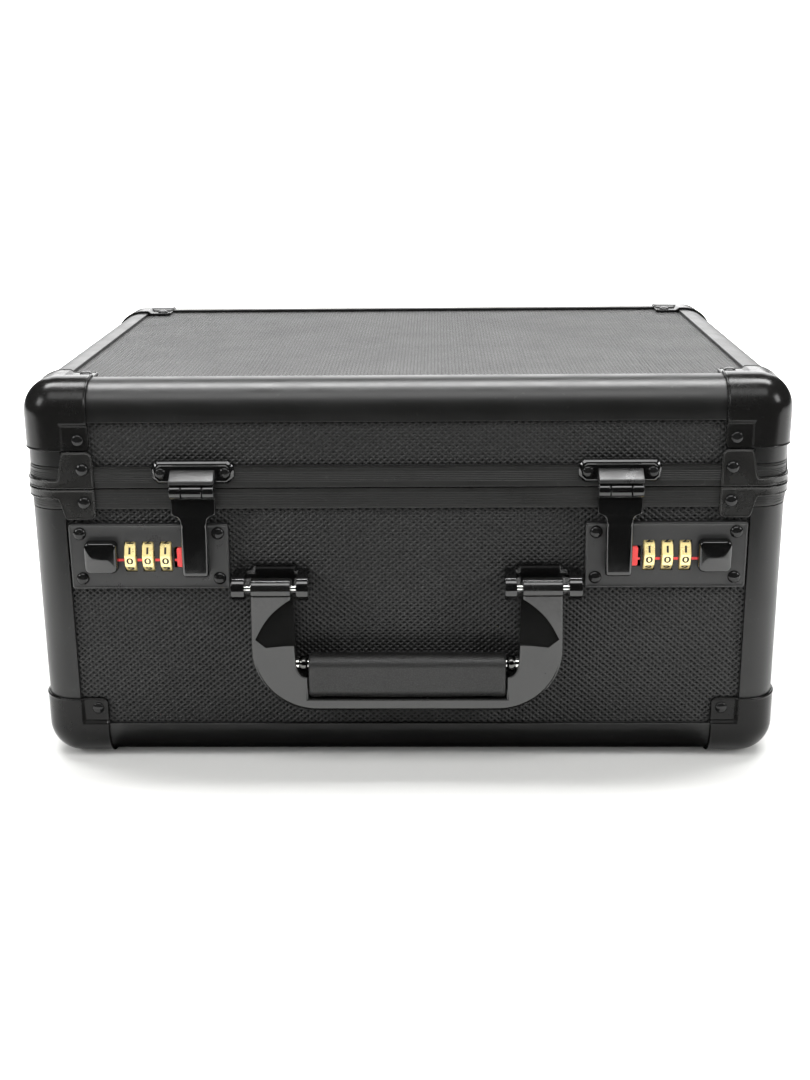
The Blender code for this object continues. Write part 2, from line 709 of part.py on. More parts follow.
def hinge_leaf(name, x, up):
    """One leaf of a back hinge: the lid's has the middle knuckle, the base's the outer two and the pin."""
    y, z = HINGE_AXIS
    half, reach, near, far = 17.3, 16.0, GAP, 1.7
    start = z + up * (HINGE_RADIUS + 0.8)
    low, high = sorted((start, start + up * reach))
    leaf = box(name, (x - half, BACK + near, low), (x + half, BACK + far, high))
    spans = [(x, 10.6)] if up > 0 else [(x - 11.3, 11.4), (x + 11.3, 11.4)]
    parts = []
    for centre, width in spans:
        outlines = [arc((y, z), HINGE_RADIUS, 0, 330, 11)]
        if up > 0:
            outlines.append(arc((y, z), 1.6, 0, 324, 9))
        web = [(0.5, z + up * 1.9), (2.0, z + up * 1.9), (1.5, z + up * 6.0), (0.5, z + up * 6.0)]
        place = ((0, 1, 0), (0, 0, 1), (centre, BACK, 0))
        parts.append(extrusion(name + "_ring", outlines, width, *place))
        parts.append(extrusion(name + "_web", [web], width - 0.4, *place))
    if up < 0:
        parts.append(cylinder(name + "_pin", 1.3, 35.6, (x, BACK + y, z), 10))
    combine(leaf, parts)
    for shift in (-11, 11):
        add_rivet(leaf, (0, 1, 0), (x + shift, BACK + far, z + up * 14.5))
    join_case(smooth(leaf), GLOSS_METAL)


# ---------------------------------------------------------------- foam

FOAM_X = 166.2
FOAM_Y = (FRONT + 8.8, BACK - 8.8)
FOAM_SPLIT = 38.0
FOAM_TOP = 134.0
LID_FOAM = 138.0
BAYS = (
    ((-150, 84), (6, 104)), ((100, 150), (6, 104)), ((-150, 20), (-88, -10)), ((36, 150), (-88, -10)),
)


def foam_block(name, low, high):
    """A block of foam with rounded upright corners, between two heights."""
    r = 8.0
    outline = []
    for x, y, start in (
        (FOAM_X - r, FOAM_Y[1] - r, 0), (r - FOAM_X, FOAM_Y[1] - r, 90),
        (r - FOAM_X, FOAM_Y[0] + r, 180), (FOAM_X - r, FOAM_Y[0] + r, 270),
    ):
        outline += arc((x, y), r, start, start + 90, 3)
    return extrusion(name, [outline], high - low, (1, 0, 0), (0, 1, 0), (0, 0, (low + high) / 2))


def foam():
    """The insert: a flat pad, a cut-out layer with four bays over it, and the lid's pad."""
    floor = RAIL_BOTTOM + FLANGE_FACE + GAP
    join_case(foam_block("foam_base_pad", floor, FOAM_SPLIT), FOAM)
    layer = foam_block("foam_cutout_layer", FOAM_SPLIT + GAP, FOAM_TOP)
    holes = []
    for (x_low, x_high), (y_low, y_high) in BAYS:
        holes.append(box("bay_cut", (x_low, CENTRE_Y + y_low, 20), (x_high, CENTRE_Y + y_high, 150)))
    for _, side in SIDES:
        x_low, x_high = sorted((side * 87.0, side * 151.0))
        holes.append(box("housing_cut", (x_low, FRONT + 5, 89.5), (x_high, FRONT + 15.5, 150)))
    join_case(combine(layer, holes, "DIFFERENCE"), FOAM)
    lid_top = RAIL_TOP - FLANGE_FACE - GAP
    join_case(foam_block("foam_lid_pad", LID_FOAM, lid_top), FOAM)


# ---------------------------------------------------------------- assembly

def build_base():
    seam = SEAM - SEAM_GAP / 2
    floor = level_panel("bottom_panel", RAIL_BOTTOM + PANEL_INSET, RAIL_BOTTOM + PANEL_INSET + PANEL_THICK)
    walls = wall_panels("base", RAIL_BOTTOM + SLOT_END + GAP, seam - 1.3 - GAP)
    rail_frame("base_rail_frame", (RAIL_BOTTOM - 5, BASE_VALANCE_LOW - GAP), RAIL_BOTTOM, 1, [floor, *walls])
    openings = []
    for _, side in SIDES:
        x_low, x_high = sorted((side * 88.0, side * 150.0))
        openings.append(box("lock_opening", (x_low, FRONT, 91.0), (x_high, FRONT + 9, 117.0)))
    combine(walls[0], openings, "DIFFERENCE")
    meeting_rail("base_meeting_rail", base_section())
    at_corners("base_corner_cap", corner_cap_mesh(), RAIL_BOTTOM, 1)
    at_corners("base_corner_bracket", bracket_mesh((seam - 5.4, seam), (122.0, seam), 130.0), 0, 1)


def build_lid():
    seam = SEAM + SEAM_GAP / 2
    roof = level_panel("top_panel", RAIL_TOP - PANEL_INSET - PANEL_THICK, RAIL_TOP - PANEL_INSET)
    walls = wall_panels("lid", TONGUE_TOP + 1.9 + GAP, RAIL_TOP - SLOT_END - GAP)
    rail_frame("lid_rail_frame", (LID_VALANCE_HIGH + GAP, RAIL_TOP + 5), RAIL_TOP, -1, [roof, *walls])
    meeting_rail("lid_meeting_rail", lid_section())
    at_corners("lid_corner_cap", corner_cap_mesh(), RAIL_TOP, -1)
    at_corners("lid_corner_bracket", bracket_mesh((seam, seam + 6.4), (seam, 153.9), 145.7), 0, 1)


def build_latches():
    for name, side in SIDES:
        lock_plate(f"lock_plate_{name}", side)
        lock_housing(f"lock_housing_{name}", side)
        for number, x in enumerate(DIAL_X, 1):
            dial(f"dial_{name}_{number}", side * x)
        slider(f"slide_button_{name}", side)
        reset_tab(f"reset_tab_{name}", side)
        strike_plate(f"strike_plate_{name}", side)
        hasp(f"hasp_{name}", side)


def build_handle():
    for name, side in SIDES:
        handle_bracket(f"handle_bracket_{name}", side)
    handle_frame()
    grip()
    grip_rod()


def build_hinges():
    for name, side in SIDES:
        hinge_leaf(f"lid_hinge_leaf_{name}", side * HINGE_X, 1)
        hinge_leaf(f"base_hinge_leaf_{name}", side * HINGE_X, -1)


build_base()
build_lid()
build_latches()
build_handle()
build_hinges()
foam()
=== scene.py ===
"""Looks of the drone carrying case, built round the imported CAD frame.

Shapes are drawn in millimetres in the row frame and turned into metres when their mesh is made. Depths on
the front are measured from the front rails' outer face and are negative towards the viewer.
"""

import json
import math

import bmesh
import bpy
from mathutils import Matrix, Vector


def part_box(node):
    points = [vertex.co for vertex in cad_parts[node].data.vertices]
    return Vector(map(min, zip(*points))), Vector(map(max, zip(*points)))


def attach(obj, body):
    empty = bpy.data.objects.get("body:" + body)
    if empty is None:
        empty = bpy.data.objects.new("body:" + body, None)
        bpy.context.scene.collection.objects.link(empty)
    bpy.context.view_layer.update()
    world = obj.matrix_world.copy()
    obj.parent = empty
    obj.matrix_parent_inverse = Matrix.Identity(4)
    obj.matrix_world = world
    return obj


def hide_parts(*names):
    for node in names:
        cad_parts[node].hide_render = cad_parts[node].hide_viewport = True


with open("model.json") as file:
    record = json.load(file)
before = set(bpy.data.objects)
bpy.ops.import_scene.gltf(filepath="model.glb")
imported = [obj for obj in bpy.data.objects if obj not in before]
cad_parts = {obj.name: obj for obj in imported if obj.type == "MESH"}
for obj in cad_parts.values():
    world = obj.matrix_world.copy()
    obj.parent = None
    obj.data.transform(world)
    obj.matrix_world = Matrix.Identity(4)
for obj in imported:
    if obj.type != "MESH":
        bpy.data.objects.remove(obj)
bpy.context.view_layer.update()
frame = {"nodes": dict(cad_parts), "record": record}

MM = 0.001
SIDES = (("left", -1), ("right", 1))
CORNERS = (("front_left", -1, -1), ("front_right", 1, -1), ("back_left", -1, 1), ("back_right", 1, 1))
ACROSS, FORWARD = (1, 0, 0), (0, -1, 0)


def span(node):
    """A CAD node's lowest and highest corner, in millimetres."""
    low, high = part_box(node)
    return low / MM, high / MM


# ---------------------------------------------------------------- sizes taken from the frame

SHELL_LOW = span("base_rail_frame")[0]
SHELL_HIGH = span("lid_rail_frame")[1]
HALF_X, FRONT, BACK = SHELL_HIGH.x, SHELL_LOW.y, SHELL_HIGH.y
CENTRE_Y = (FRONT + BACK) / 2
HALF_Y = (BACK - FRONT) / 2
BASE_RING = span("base_meeting_rail")
LID_RING = span("lid_meeting_rail")
SEAM = LID_RING[0].z - 0.2

RAIL_RADIUS = 15.0
RAIL_LEG = 18.0
RAIL_WALL = 1.5
FLANGE = (7.1, 8.3)
CAP_PROUD = 1.3
CAP_REACH = 31.0
LOCK_Z = (span("lock_plate_right")[0].z + span("lock_plate_right")[1].z) / 2


# ---------------------------------------------------------------- materials

def node_tree(name):
    material = bpy.data.materials.new(name)
    material.use_nodes = True
    tree = material.node_tree
    return material, tree, tree.nodes["Principled BSDF"]


def feed(tree, node, inputs):
    """Fills a node's inputs. Each is a value, or a socket to link from."""
    for key, value in inputs.items():
        if isinstance(value, bpy.types.NodeSocket):
            tree.links.new(value, node.inputs[key])
        else:
            node.inputs[key].default_value = value


def add(tree, kind, inputs=None, **settings):
    node = tree.nodes.new(kind)
    for key, value in settings.items():
        setattr(node, key, value)
    feed(tree, node, inputs or {})
    return node


def millimetres(tree, stretch=(1, 1, 1)):
    """Object coordinates in millimetres, divided by a stretch along each axis."""
    place = add(tree, "ShaderNodeTexCoord").outputs["Object"]
    scale = [1 / MM / s for s in stretch]
    return add(tree, "ShaderNodeMapping", {"Vector": place, "Scale": scale}).outputs[0]


def noise(tree, size, detail):
    """Noise from 0 to 1 with blobs of about this size in millimetres."""
    inputs = {"Vector": millimetres(tree), "Scale": 1 / size, "Detail": detail}
    return add(tree, "ShaderNodeTexNoise", inputs).outputs["Fac"]


def remap(tree, value, low, high, to_low=0.0, to_high=1.0):
    inputs = {"Value": value, "From Min": low, "From Max": high, "To Min": to_low, "To Max": to_high}
    return add(tree, "ShaderNodeMapRange", inputs).outputs["Result"]


def math_node(tree, operation, first, second):
    return add(tree, "ShaderNodeMath", {0: first, 1: second}, operation=operation).outputs[0]


def blend_colours(tree, share, first, second):
    """A mix of two colours, which are the node's inputs 6 and 7 and its output 2."""
    inputs = {0: share, 6: (*first, 1), 7: (*second, 1)}
    return add(tree, "ShaderNodeMix", inputs, data_type="RGBA").outputs[2]


def bumped(tree, height, strength, distance):
    """A normal from a height of 0 to 1, with the distance in millimetres."""
    inputs = {"Height": height, "Strength": strength, "Distance": distance * MM}
    return add(tree, "ShaderNodeBump", inputs).outputs["Normal"]


def surface(name, colour, worn, roughness, metallic, specular, grain, smudge=0.25, coat=0.0):
    """A finish with handling marks: smudges vary the gloss, and specks are worn lighter.

    Grain, its bump, is a size and a depth in millimetres.
    """
    material, tree, shader = node_tree(name)
    smudges, fine = noise(tree, 14.0, 5.0), noise(tree, grain[0], 2.0)
    specks = remap(tree, noise(tree, 2.2, 6.0), 0.66, 0.74)
    rough = remap(tree, smudges, 0.35, 0.7, roughness * (1 - smudge), roughness * (1 + smudge))
    feed(tree, shader, {
        "Base Color": blend_colours(tree, specks, colour, worn),
        "Roughness": math_node(tree, "ADD", rough, remap(tree, fine, 0.3, 0.7, -0.03, 0.03)),
        "Normal": bumped(tree, fine, 0.5, grain[1]),
        "Metallic": metallic, "Specular IOR Level": specular, "Coat Weight": coat, "Coat Roughness": 0.08,
    })
    return material


def laminate_finish():
    """Embossed black skin: the ridges are polished by wear, and the pits are duller, with painted shade that
    darkens them.
    """
    material, tree, shader = node_tree("embossed_laminate")
    relief = add(tree, "ShaderNodeAttribute", attribute_name="relief").outputs["Fac"]
    patches = remap(tree, noise(tree, 22.0, 4.0), 0.35, 0.65, 0.82, 1.0)
    # Worn is low in the pits: it carries the wear on the ridges and the painted shade in the pits.
    worn = math_node(tree, "MULTIPLY", remap(tree, relief, 0.3, 1.0), patches)
    grain = noise(tree, 0.25, 3.0)
    rough = remap(tree, worn, 0.0, 1.0, 0.6, 0.36)
    # The near-black towards a pit's bottom is painted shade.
    feed(tree, shader, {
        "Base Color": blend_colours(tree, worn, (0.001, 0.001, 0.001), (0.009, 0.009, 0.0087)),
        "Roughness": math_node(tree, "ADD", rough, remap(tree, grain, 0.3, 0.7, -0.04, 0.04)),
        "Normal": bumped(tree, grain, 0.4, 0.05),
        "Specular IOR Level": 0.42,
    })
    return material


def leather_finish():
    """Vinyl with a fine leather grain: pebbles with creases between them, and painted shade that darkens the
    creases.
    """
    material, tree, shader = node_tree("leather_grain_vinyl")
    place = {0: millimetres(tree, (1.25, 1, 1)), 1: noise(tree, 3.0, 2.0)}
    warped = add(tree, "ShaderNodeVectorMath", place, operation="ADD").outputs[0]
    inputs = {"Vector": warped, "Scale": 1.15}
    cells = add(tree, "ShaderNodeTexVoronoi", inputs, feature="DISTANCE_TO_EDGE").outputs["Distance"]
    pebbles = remap(tree, cells, 0.0, 0.22)
    pores = math_node(tree, "MULTIPLY", noise(tree, 0.3, 2.0), 0.25)
    # Pebbles is 0 in the creases, where the darker colour is painted shade.
    feed(tree, shader, {
        "Base Color": blend_colours(tree, pebbles, (0.004, 0.004, 0.0038), (0.011, 0.011, 0.0105)),
        "Roughness": remap(tree, pebbles, 0.0, 1.0, 0.55, 0.33),
        "Normal": bumped(tree, math_node(tree, "ADD", pebbles, pores), 0.45, 0.12),
        "Specular IOR Level": 0.6,
    })
    return material


def foam_finish():
    """Open-cell foam: pits of two sizes, darkened with painted shade."""
    material, tree, shader = node_tree("open_cell_foam")
    inputs = {"Vector": millimetres(tree), "Scale": 0.9}
    cells = add(tree, "ShaderNodeTexVoronoi", inputs).outputs["Distance"]
    height = math_node(tree, "ADD", remap(tree, cells, 0.0, 0.8), noise(tree, 0.6, 4.0))
    # Share is low in the pits, where the darker colour is painted shade.
    share = remap(tree, height, 0.6, 1.5)
    feed(tree, shader, {
        "Base Color": blend_colours(tree, share, (0.008, 0.008, 0.009), (0.035, 0.035, 0.038)),
        "Normal": bumped(tree, height, 0.7, 0.5), "Roughness": 0.95, "Specular IOR Level": 0.2,
        "Sheen Weight": 0.25, "Sheen Roughness": 0.6,
    })
    return material


def stage_finish():
    """White that glows where it is far from the case, as a burnt-out studio does."""
    material, tree, shader = node_tree("white_stage")
    place = add(tree, "ShaderNodeTexCoord").outputs["Object"]
    distance = add(tree, "ShaderNodeVectorMath", {0: place}, operation="LENGTH").outputs["Value"]
    inputs = {"Value": distance, "From Min": 0.2, "From Max": 0.8, "To Min": 0.0, "To Max": 1.0}
    glow = add(tree, "ShaderNodeMapRange", inputs, interpolation_type="SMOOTHSTEP").outputs["Result"]
    feed(tree, shader, {
        "Base Color": (0.62, 0.62, 0.61, 1), "Roughness": 0.7, "Emission Color": (1, 1, 1, 1),
        "Emission Strength": glow,
    })
    return material


def grey(value, blue=None):
    """A grey, or a warmer one with its own blue."""
    return value, value, value if blue is None else blue


LAMINATE = laminate_finish()
LEATHER = leather_finish()
FOAM = foam_finish()
# Each has its colour, its worn colour, roughness, metallic, specular and grain.
ANODISED = surface(
    "satin_anodised", grey(0.005, 0.0048), grey(0.014, 0.0135), 0.36, 0.1, 0.5, (0.5, 0.03), 0.1,
)
GROOVED = surface("grooved_anodised", grey(0.009, 0.0085), grey(0.02, 0.019), 0.4, 0.1, 0.4, (0.5, 0.03))
ENAMEL = surface("corner_enamel", (0.005, 0.0049, 0.0047), grey(0.009), 0.22, 0.0, 0.2, (1.6, 0.02), 0.3)
BRACKET_ENAMEL = surface(
    "bracket_enamel", (0.012, 0.0118, 0.0112), grey(0.018), 0.28, 0.2, 0.5, (1.2, 0.015), 0.3,
)
LOCK_SATIN = surface("lock_plate_satin", grey(0.024), grey(0.035), 0.36, 0.3, 0.7, (0.4, 0.05))
GLOSS = surface("latch_gloss", grey(0.003), grey(0.008), 0.13, 0.0, 0.5, (2.5, 0.02), 0.35, coat=0.6)
RIVET_STEEL = surface("rivet_enamel", grey(0.012), grey(0.05), 0.16, 0.5, 0.6, (1.0, 0.03), 0.3)
BRASS = surface("dial_brass", (1.0, 0.82, 0.38), (0.85, 0.62, 0.25), 0.3, 0.45, 0.5, (0.3, 0.03), 0.2)
INK = surface("digit_ink", (0.015, 0.012, 0.01), (0.05, 0.04, 0.03), 0.5, 0.0, 0.4, (0.2, 0.02))
RED = surface("index_red", (0.72, 0.045, 0.045), (0.8, 0.12, 0.1), 0.38, 0.0, 0.5, (0.4, 0.04))
HANDLE = surface(
    "handle_plastic", grey(0.005, 0.0048), grey(0.012), 0.2, 0.0, 0.7, (1.4, 0.03), 0.3, coat=0.25,
)
CHROME = surface("bright_rod", grey(0.8, 0.78), grey(0.6, 0.58), 0.14, 1.0, 0.5, (0.6, 0.02))
NICKEL = surface("dark_nickel", grey(0.12, 0.115), grey(0.3, 0.28), 0.16, 1.0, 0.5, (0.8, 0.02))
DARK_STEEL = surface("housing_steel", grey(0.015), (0.05, 0.045, 0.04), 0.45, 0.6, 0.5, (0.6, 0.06))


# ---------------------------------------------------------------- shapes

def arc(centre, radius, start, end, steps):
    """Points on an arc between two angles in degrees. A pair of radii makes an ellipse."""
    across, up = radius if isinstance(radius, tuple) else (radius, radius)
    angles = [math.radians(start + (end - start) * i / steps) for i in range(steps + 1)]
    return [(centre[0] + across * math.cos(a), centre[1] + up * math.sin(a)) for a in angles]


def rounded_rectangle(low, high, radius, steps=6):
    """An outline between two corners, anticlockwise."""
    (x0, y0), (x1, y1) = low, high
    r = radius
    return [
        *arc((x1 - r, y1 - r), r, 0, 90, steps), *arc((x0 + r, y1 - r), r, 90, 180, steps),
        *arc((x0 + r, y0 + r), r, 180, 270, steps), *arc((x1 - r, y0 + r), r, 270, 360, steps),
    ]


def mirrored(outline, side):
    """The outline as it is on the right, or turned over for the left."""
    return outline if side > 0 else [(-x, z) for x, z in reversed(outline)]


def inset(outline, distance):
    """An anticlockwise outline moved inwards by a distance."""
    moved = []
    for i, point in enumerate(outline):
        here = Vector(point)
        before = here - Vector(outline[i - 1])
        after = Vector(outline[(i + 1) % len(outline)]) - here
        normals = [Vector((-edge.y, edge.x)).normalized() for edge in (before, after)]
        share = max(0.3, 1 + normals[0].dot(normals[1]))
        moved.append(here + (normals[0] + normals[1]) * (distance / share))
    return moved


def on_front(point, depth):
    """An (x, z) point at a depth from the front rail face."""
    return Vector((point[0], FRONT + depth, point[1]))


def smoothstep(value):
    value = min(1.0, max(0.0, value))
    return value * value * (3 - 2 * value)


class Shape:
    """Closed shells in millimetres, each face with its material's number."""

    def __init__(self):
        self.points = []
        self.faces = []
        self.finishes = []

    def face(self, corners, finish):
        self.faces.append(tuple(corners))
        self.finishes.append(finish)

    def loft(self, loops, finish=0, ring=False, ladder=False):
        """A skin over loops of the same count. Its ends are one face each, or a ladder of quads across."""
        first, count = len(self.points), len(loops[0])
        for loop in loops:
            self.points.extend(Vector(point) for point in loop)
        starts = [first + count * row for row in range(len(loops))]
        pairs = list(zip(starts, starts[1:]))
        if ring:
            pairs.append((starts[-1], starts[0]))
        for a, b in pairs:
            for i in range(count):
                j = (i + 1) % count
                self.face((a + i, a + j, b + j, b + i), finish)
        if ring:
            return
        for start in (starts[0], starts[-1]):
            if ladder:
                for i in range(count // 2 - 1):
                    other = start + count - 1 - i
                    self.face((start + i, start + i + 1, other - 1, other), finish)
            else:
                self.face(range(start, start + count), finish)

    def stack(self, outline, levels, finish=0, place=on_front):
        """An outline carried through (depth, inset) levels."""
        self.loft([[place(point, depth) for point in inset(outline, by)] for depth, by in levels], finish)

    def cushion(self, low, high, radius, levels):
        """A rounded rectangle carried through (depth, inset) levels. Its corners tighten as it shrinks."""
        loops = []
        for depth, by in levels:
            corners = (low[0] + by, low[1] + by), (high[0] - by, high[1] - by)
            outline = rounded_rectangle(*corners, max(0.1, radius - by), 5)
            loops.append([on_front(point, depth) for point in outline])
        self.loft(loops)

    def drawn(self, outline, stations, finish=0, face=FRONT):
        """A (depth, z) outline drawn along the case through (x, inset) stations."""
        self.loft([
            [Vector((x, face + depth, z)) for depth, z in (inset(outline, by) if by else outline)]
            for x, by in stations
        ], finish)

    def turned(self, profile, point, direction, finish=0, sides=28, ring=False):
        """A profile of (radius, height) turned round an axis from a point. A ring's profile is closed."""
        turn = Vector(direction).to_track_quat("Z", "Y").to_matrix()
        angles = [2 * math.pi * k / sides for k in range(sides)]
        loops = []
        for radius, height in profile:
            circle = [Vector((radius * math.cos(a), radius * math.sin(a), height)) for a in angles]
            loops.append([Vector(point) + turn @ spot for spot in circle])
        self.loft(loops, finish, ring)

    def sheets(self, outer, inner, walls, finish=0):
        """Two grids of points, joined by walls along the named sides: u0, u1, v0 and v1."""
        rows, columns = len(outer), len(outer[0])
        first = len(self.points)
        for grid in (outer, inner):
            for row in grid:
                self.points.extend(Vector(point) for point in row)
        shift = rows * columns

        def at(i, j):
            return first + i * columns + j

        for i in range(rows - 1):
            for j in range(columns - 1):
                quad = (at(i, j), at(i + 1, j), at(i + 1, j + 1), at(i, j + 1))
                self.face(quad, finish)
                self.face([corner + shift for corner in reversed(quad)], finish)
        edges = {
            "u0": [at(0, j) for j in range(columns)], "u1": [at(rows - 1, j) for j in range(columns)],
            "v0": [at(i, 0) for i in range(rows)], "v1": [at(i, columns - 1) for i in range(rows)],
        }
        for wall in walls:
            for a, b in zip(edges[wall], edges[wall][1:]):
                self.face((a, b, b + shift, a + shift), finish)

    def merge(self, other, place=None):
        """Another shape's shells, at a placement in millimetres."""
        first = len(self.points)
        self.points.extend(place @ point if place else point for point in other.points)
        self.faces.extend(tuple(first + corner for corner in face) for face in other.faces)
        self.finishes.extend(other.finishes)


def solid(name, shape, finishes):
    """A mesh object from a shape, in metres, with its faces outward."""
    mesh = bpy.data.meshes.new(name)
    mesh.from_pydata([point * MM for point in shape.points], [], shape.faces)
    for finish in finishes:
        mesh.materials.append(finish)
    mesh.polygons.foreach_set("material_index", shape.finishes)
    shell = bmesh.new()
    shell.from_mesh(mesh)
    bmesh.ops.remove_doubles(shell, verts=shell.verts, dist=1e-7)
    bmesh.ops.recalc_face_normals(shell, faces=shell.faces)
    shell.to_mesh(mesh)
    shell.free()
    obj = bpy.data.objects.new(name, mesh)
    bpy.context.scene.collection.objects.link(obj)
    return obj


def combine(obj, others, operation="DIFFERENCE"):
    """Cuts or joins with other objects and keeps the result as the object's plain mesh."""
    for other in others:
        step = obj.modifiers.new(operation.lower(), "BOOLEAN")
        step.operation = operation
        step.object = other
    bpy.context.view_layer.update()
    mesh = bpy.data.meshes.new_from_object(obj.evaluated_get(bpy.context.evaluated_depsgraph_get()))
    obj.modifiers.clear()
    obj.data = mesh
    for other in others:
        bpy.data.objects.remove(other)
    return obj


def dress(obj, body, nodes=(), angle=35, even=True):
    """Shades a finished object, rides it on its body and lets it stand for CAD nodes."""
    obj.data.shade_smooth()
    obj.data.set_sharp_from_angle(angle=math.radians(angle))
    if even:
        step = obj.modifiers.new("even_shading", "WEIGHTED_NORMAL")
        step.keep_sharp = True
    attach(obj, body)
    if nodes:
        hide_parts(*nodes)
    return obj


def tube(radius, length, point):
    """A straight round cutter along the case, centred on a point."""
    shape = Shape()
    shape.turned([(radius, -length / 2), (radius, length / 2)], point, ACROSS)
    return shape


def link_mesh(name, mesh, finish):
    mesh.materials.append(finish)
    obj = bpy.data.objects.new(name, mesh)
    bpy.context.scene.collection.objects.link(obj)
    return obj


def box_shape(low, high):
    shape = Shape()
    outline = [(low[0], low[1]), (high[0], low[1]), (high[0], high[1]), (low[0], high[1])]
    shape.loft([[(x, y, z) for x, y in outline] for z in (low[2], high[2])])
    return shape


def dome(radius, height, sunk=0.3, steps=7):
    """A rivet head's profile: a short rim under an elliptical dome."""
    rim = 0.12 * height
    return [(radius * 0.98, -sunk), (radius, 0.0)] + [
        (max(0.02, radius * math.cos(a)), rim + (height - rim) * math.sin(a))
        for a in (math.pi / 2 * i / steps for i in range(steps + 1))
    ]


def rod_profile(radius, length, edge=0.4):
    """A rod with rounded ends, centred on its point."""
    half = length / 2
    angles = (0, 0.5, 1.0, math.pi / 2)
    end = [(radius - edge + edge * math.sin(a), edge * (1 - math.cos(a))) for a in angles]
    return [(r, h - half) for r, h in end] + [(r, half - h) for r, h in reversed(end)]


# ---------------------------------------------------------------- embossed panels

PIT_PITCH = (3.3, 2.8)
PIT_DEPTH = 0.6
PIT_SHARE = 0.78
PIT_RISE = 0.2
COMPASS = ((1, 0), (0, 1), (-1, 0), (0, -1))


def pitted_sheet(low, high, u, v, axis, face, side):
    """A flat net of ridges over a rectangle, with a pointed diamond pit in each of its cells."""
    half = (PIT_PITCH[0] / 2, PIT_PITCH[1] / 2)
    steps = [range(math.floor(low[k] / h) - 2, math.ceil(high[k] / h) + 3) for k, h in zip((u, v), half)]
    points, faces, rims = [], [], {}

    def add_point(i, j, height):
        spot = [0.0, 0.0, 0.0]
        spot[u], spot[v], spot[axis] = i * half[0], j * half[1], face + side * (PIT_RISE + height)
        points.append([value * MM for value in spot])
        return len(points) - 1

    for i in steps[0]:
        for j in steps[1]:
            if (i + j) % 2:
                rim = [add_point(i + di * PIT_SHARE, j + dj * PIT_SHARE, 0.0) for di, dj in COMPASS]
                bottom = add_point(i, j, -PIT_DEPTH)
                faces.extend((rim[k], rim[(k + 1) % 4], bottom) for k in range(4))
                rims[i, j] = rim
    for (i, j), rim in rims.items():
        upper, lower = rims.get((i + 1, j + 1)), rims.get((i + 1, j - 1))
        if upper:
            faces.append((rim[0], upper[3], upper[2], rim[1]))
        if lower:
            faces.append((rim[3], lower[2], lower[1], rim[0]))
        if upper and lower and (i + 2, j) in rims:
            faces.append((rims[i + 2, j][2], upper[3], rim[0], lower[1]))
    return points, faces


def split(shell, axis, at, keep=0):
    """Cuts a bmesh along a plane. Keep is the side that stays, 1 or -1, or 0 for both."""
    normal, point = Vector((0, 0, 0)), Vector((0, 0, 0))
    normal[axis], point[axis] = (-1 if keep > 0 else 1), at * MM
    everything = shell.verts[:] + shell.edges[:] + shell.faces[:]
    bmesh.ops.bisect_plane(shell, geom=everything, dist=1e-7, plane_co=point, plane_no=normal,
                           clear_outer=keep != 0)


def embossed_panel(node, body, axis, side, openings=()):
    """A board whose outer face is embossed, cut to the CAD panel's edges and openings, closed behind."""
    low, high = span(node)
    u, v = [k for k in range(3) if k != axis]
    face, back = (high[axis], low[axis]) if side > 0 else (low[axis], high[axis])
    points, faces = pitted_sheet(low, high, u, v, axis, face, side)
    mesh = bpy.data.meshes.new(node)
    mesh.from_pydata(points, [], faces)
    shell = bmesh.new()
    shell.from_mesh(mesh)
    for k in (u, v):
        split(shell, k, low[k], 1)
        split(shell, k, high[k], -1)
    for (u0, u1), (v0, v1) in openings:
        for k, at in ((u, u0), (u, u1), (v, v0), (v, v1)):
            split(shell, k, at)
        gone = [
            f for f in shell.faces
            if u0 < f.calc_center_median()[u] / MM < u1 and v0 < f.calc_center_median()[v] / MM < v1
        ]
        bmesh.ops.delete(shell, geom=gone, context="FACES")
    border = [edge for edge in shell.edges if edge.is_boundary]
    grown = bmesh.ops.extrude_edge_only(shell, edges=border)["geom"]
    for vertex in (item for item in grown if isinstance(item, bmesh.types.BMVert)):
        vertex.co[axis] = back * MM
    rim = [item for item in grown if isinstance(item, bmesh.types.BMEdge) and item.is_boundary]
    bmesh.ops.triangle_fill(shell, use_beauty=True, use_dissolve=False, edges=rim)
    bmesh.ops.recalc_face_normals(shell, faces=shell.faces)
    shell.to_mesh(mesh)
    shell.free()
    # The relief is 0 at a pit's bottom and 1 on the ridges; the finish uses it for wear on the ridges and
    # painted shade in the pits.
    relief = mesh.attributes.new("relief", "FLOAT", "POINT")
    heights = [1 + ((vertex.co[axis] / MM - face) * side - PIT_RISE) / PIT_DEPTH for vertex in mesh.vertices]
    relief.data.foreach_set("value", [min(1.0, max(0.0, height)) for height in heights])
    skin = link_mesh(node + "_embossed", mesh, LAMINATE)
    dress(skin, body, [node], 15, even=False)


def panels():
    lock_low, lock_high = span("lock_housing_right")
    room_x, room_z = 0.6, 0.4
    openings = [
        (sorted((side * (lock_low.x - room_x), side * (lock_high.x + room_x))),
         (lock_low.z - room_z, lock_high.z + room_z))
        for _, side in SIDES
    ]
    for body in ("base", "lid"):
        for wall, axis, side in (("front", 1, -1), ("back", 1, 1), ("left", 0, -1), ("right", 0, 1)):
            cuts = openings if (body, wall) == ("base", "front") else ()
            embossed_panel(f"{body}_{wall}_panel", body, axis, side, cuts)
    embossed_panel("top_panel", "lid", 2, 1)
    embossed_panel("bottom_panel", "base", 2, -1)


# ---------------------------------------------------------------- rails

def rail_section():
    """An edge rail's section as depths from its two outer faces: a round nose, a slot for each panel."""
    leg, wall, lip, slot = RAIL_LEG, RAIL_WALL, 0.5, 14.7
    near, far = FLANGE
    nose = [
        *arc((lip, leg - lip), lip, 90, 180, 3), *arc((RAIL_RADIUS,) * 2, RAIL_RADIUS, 180, 270, 20),
        *arc((leg - lip, lip), lip, 270, 360, 3),
    ]
    return nose + [
        (leg, wall), (slot, wall), (slot, near), (leg, near), (leg, far), (far, far), (far, leg),
        (near, leg), (near, slot), (wall, slot), (wall, leg),
    ]


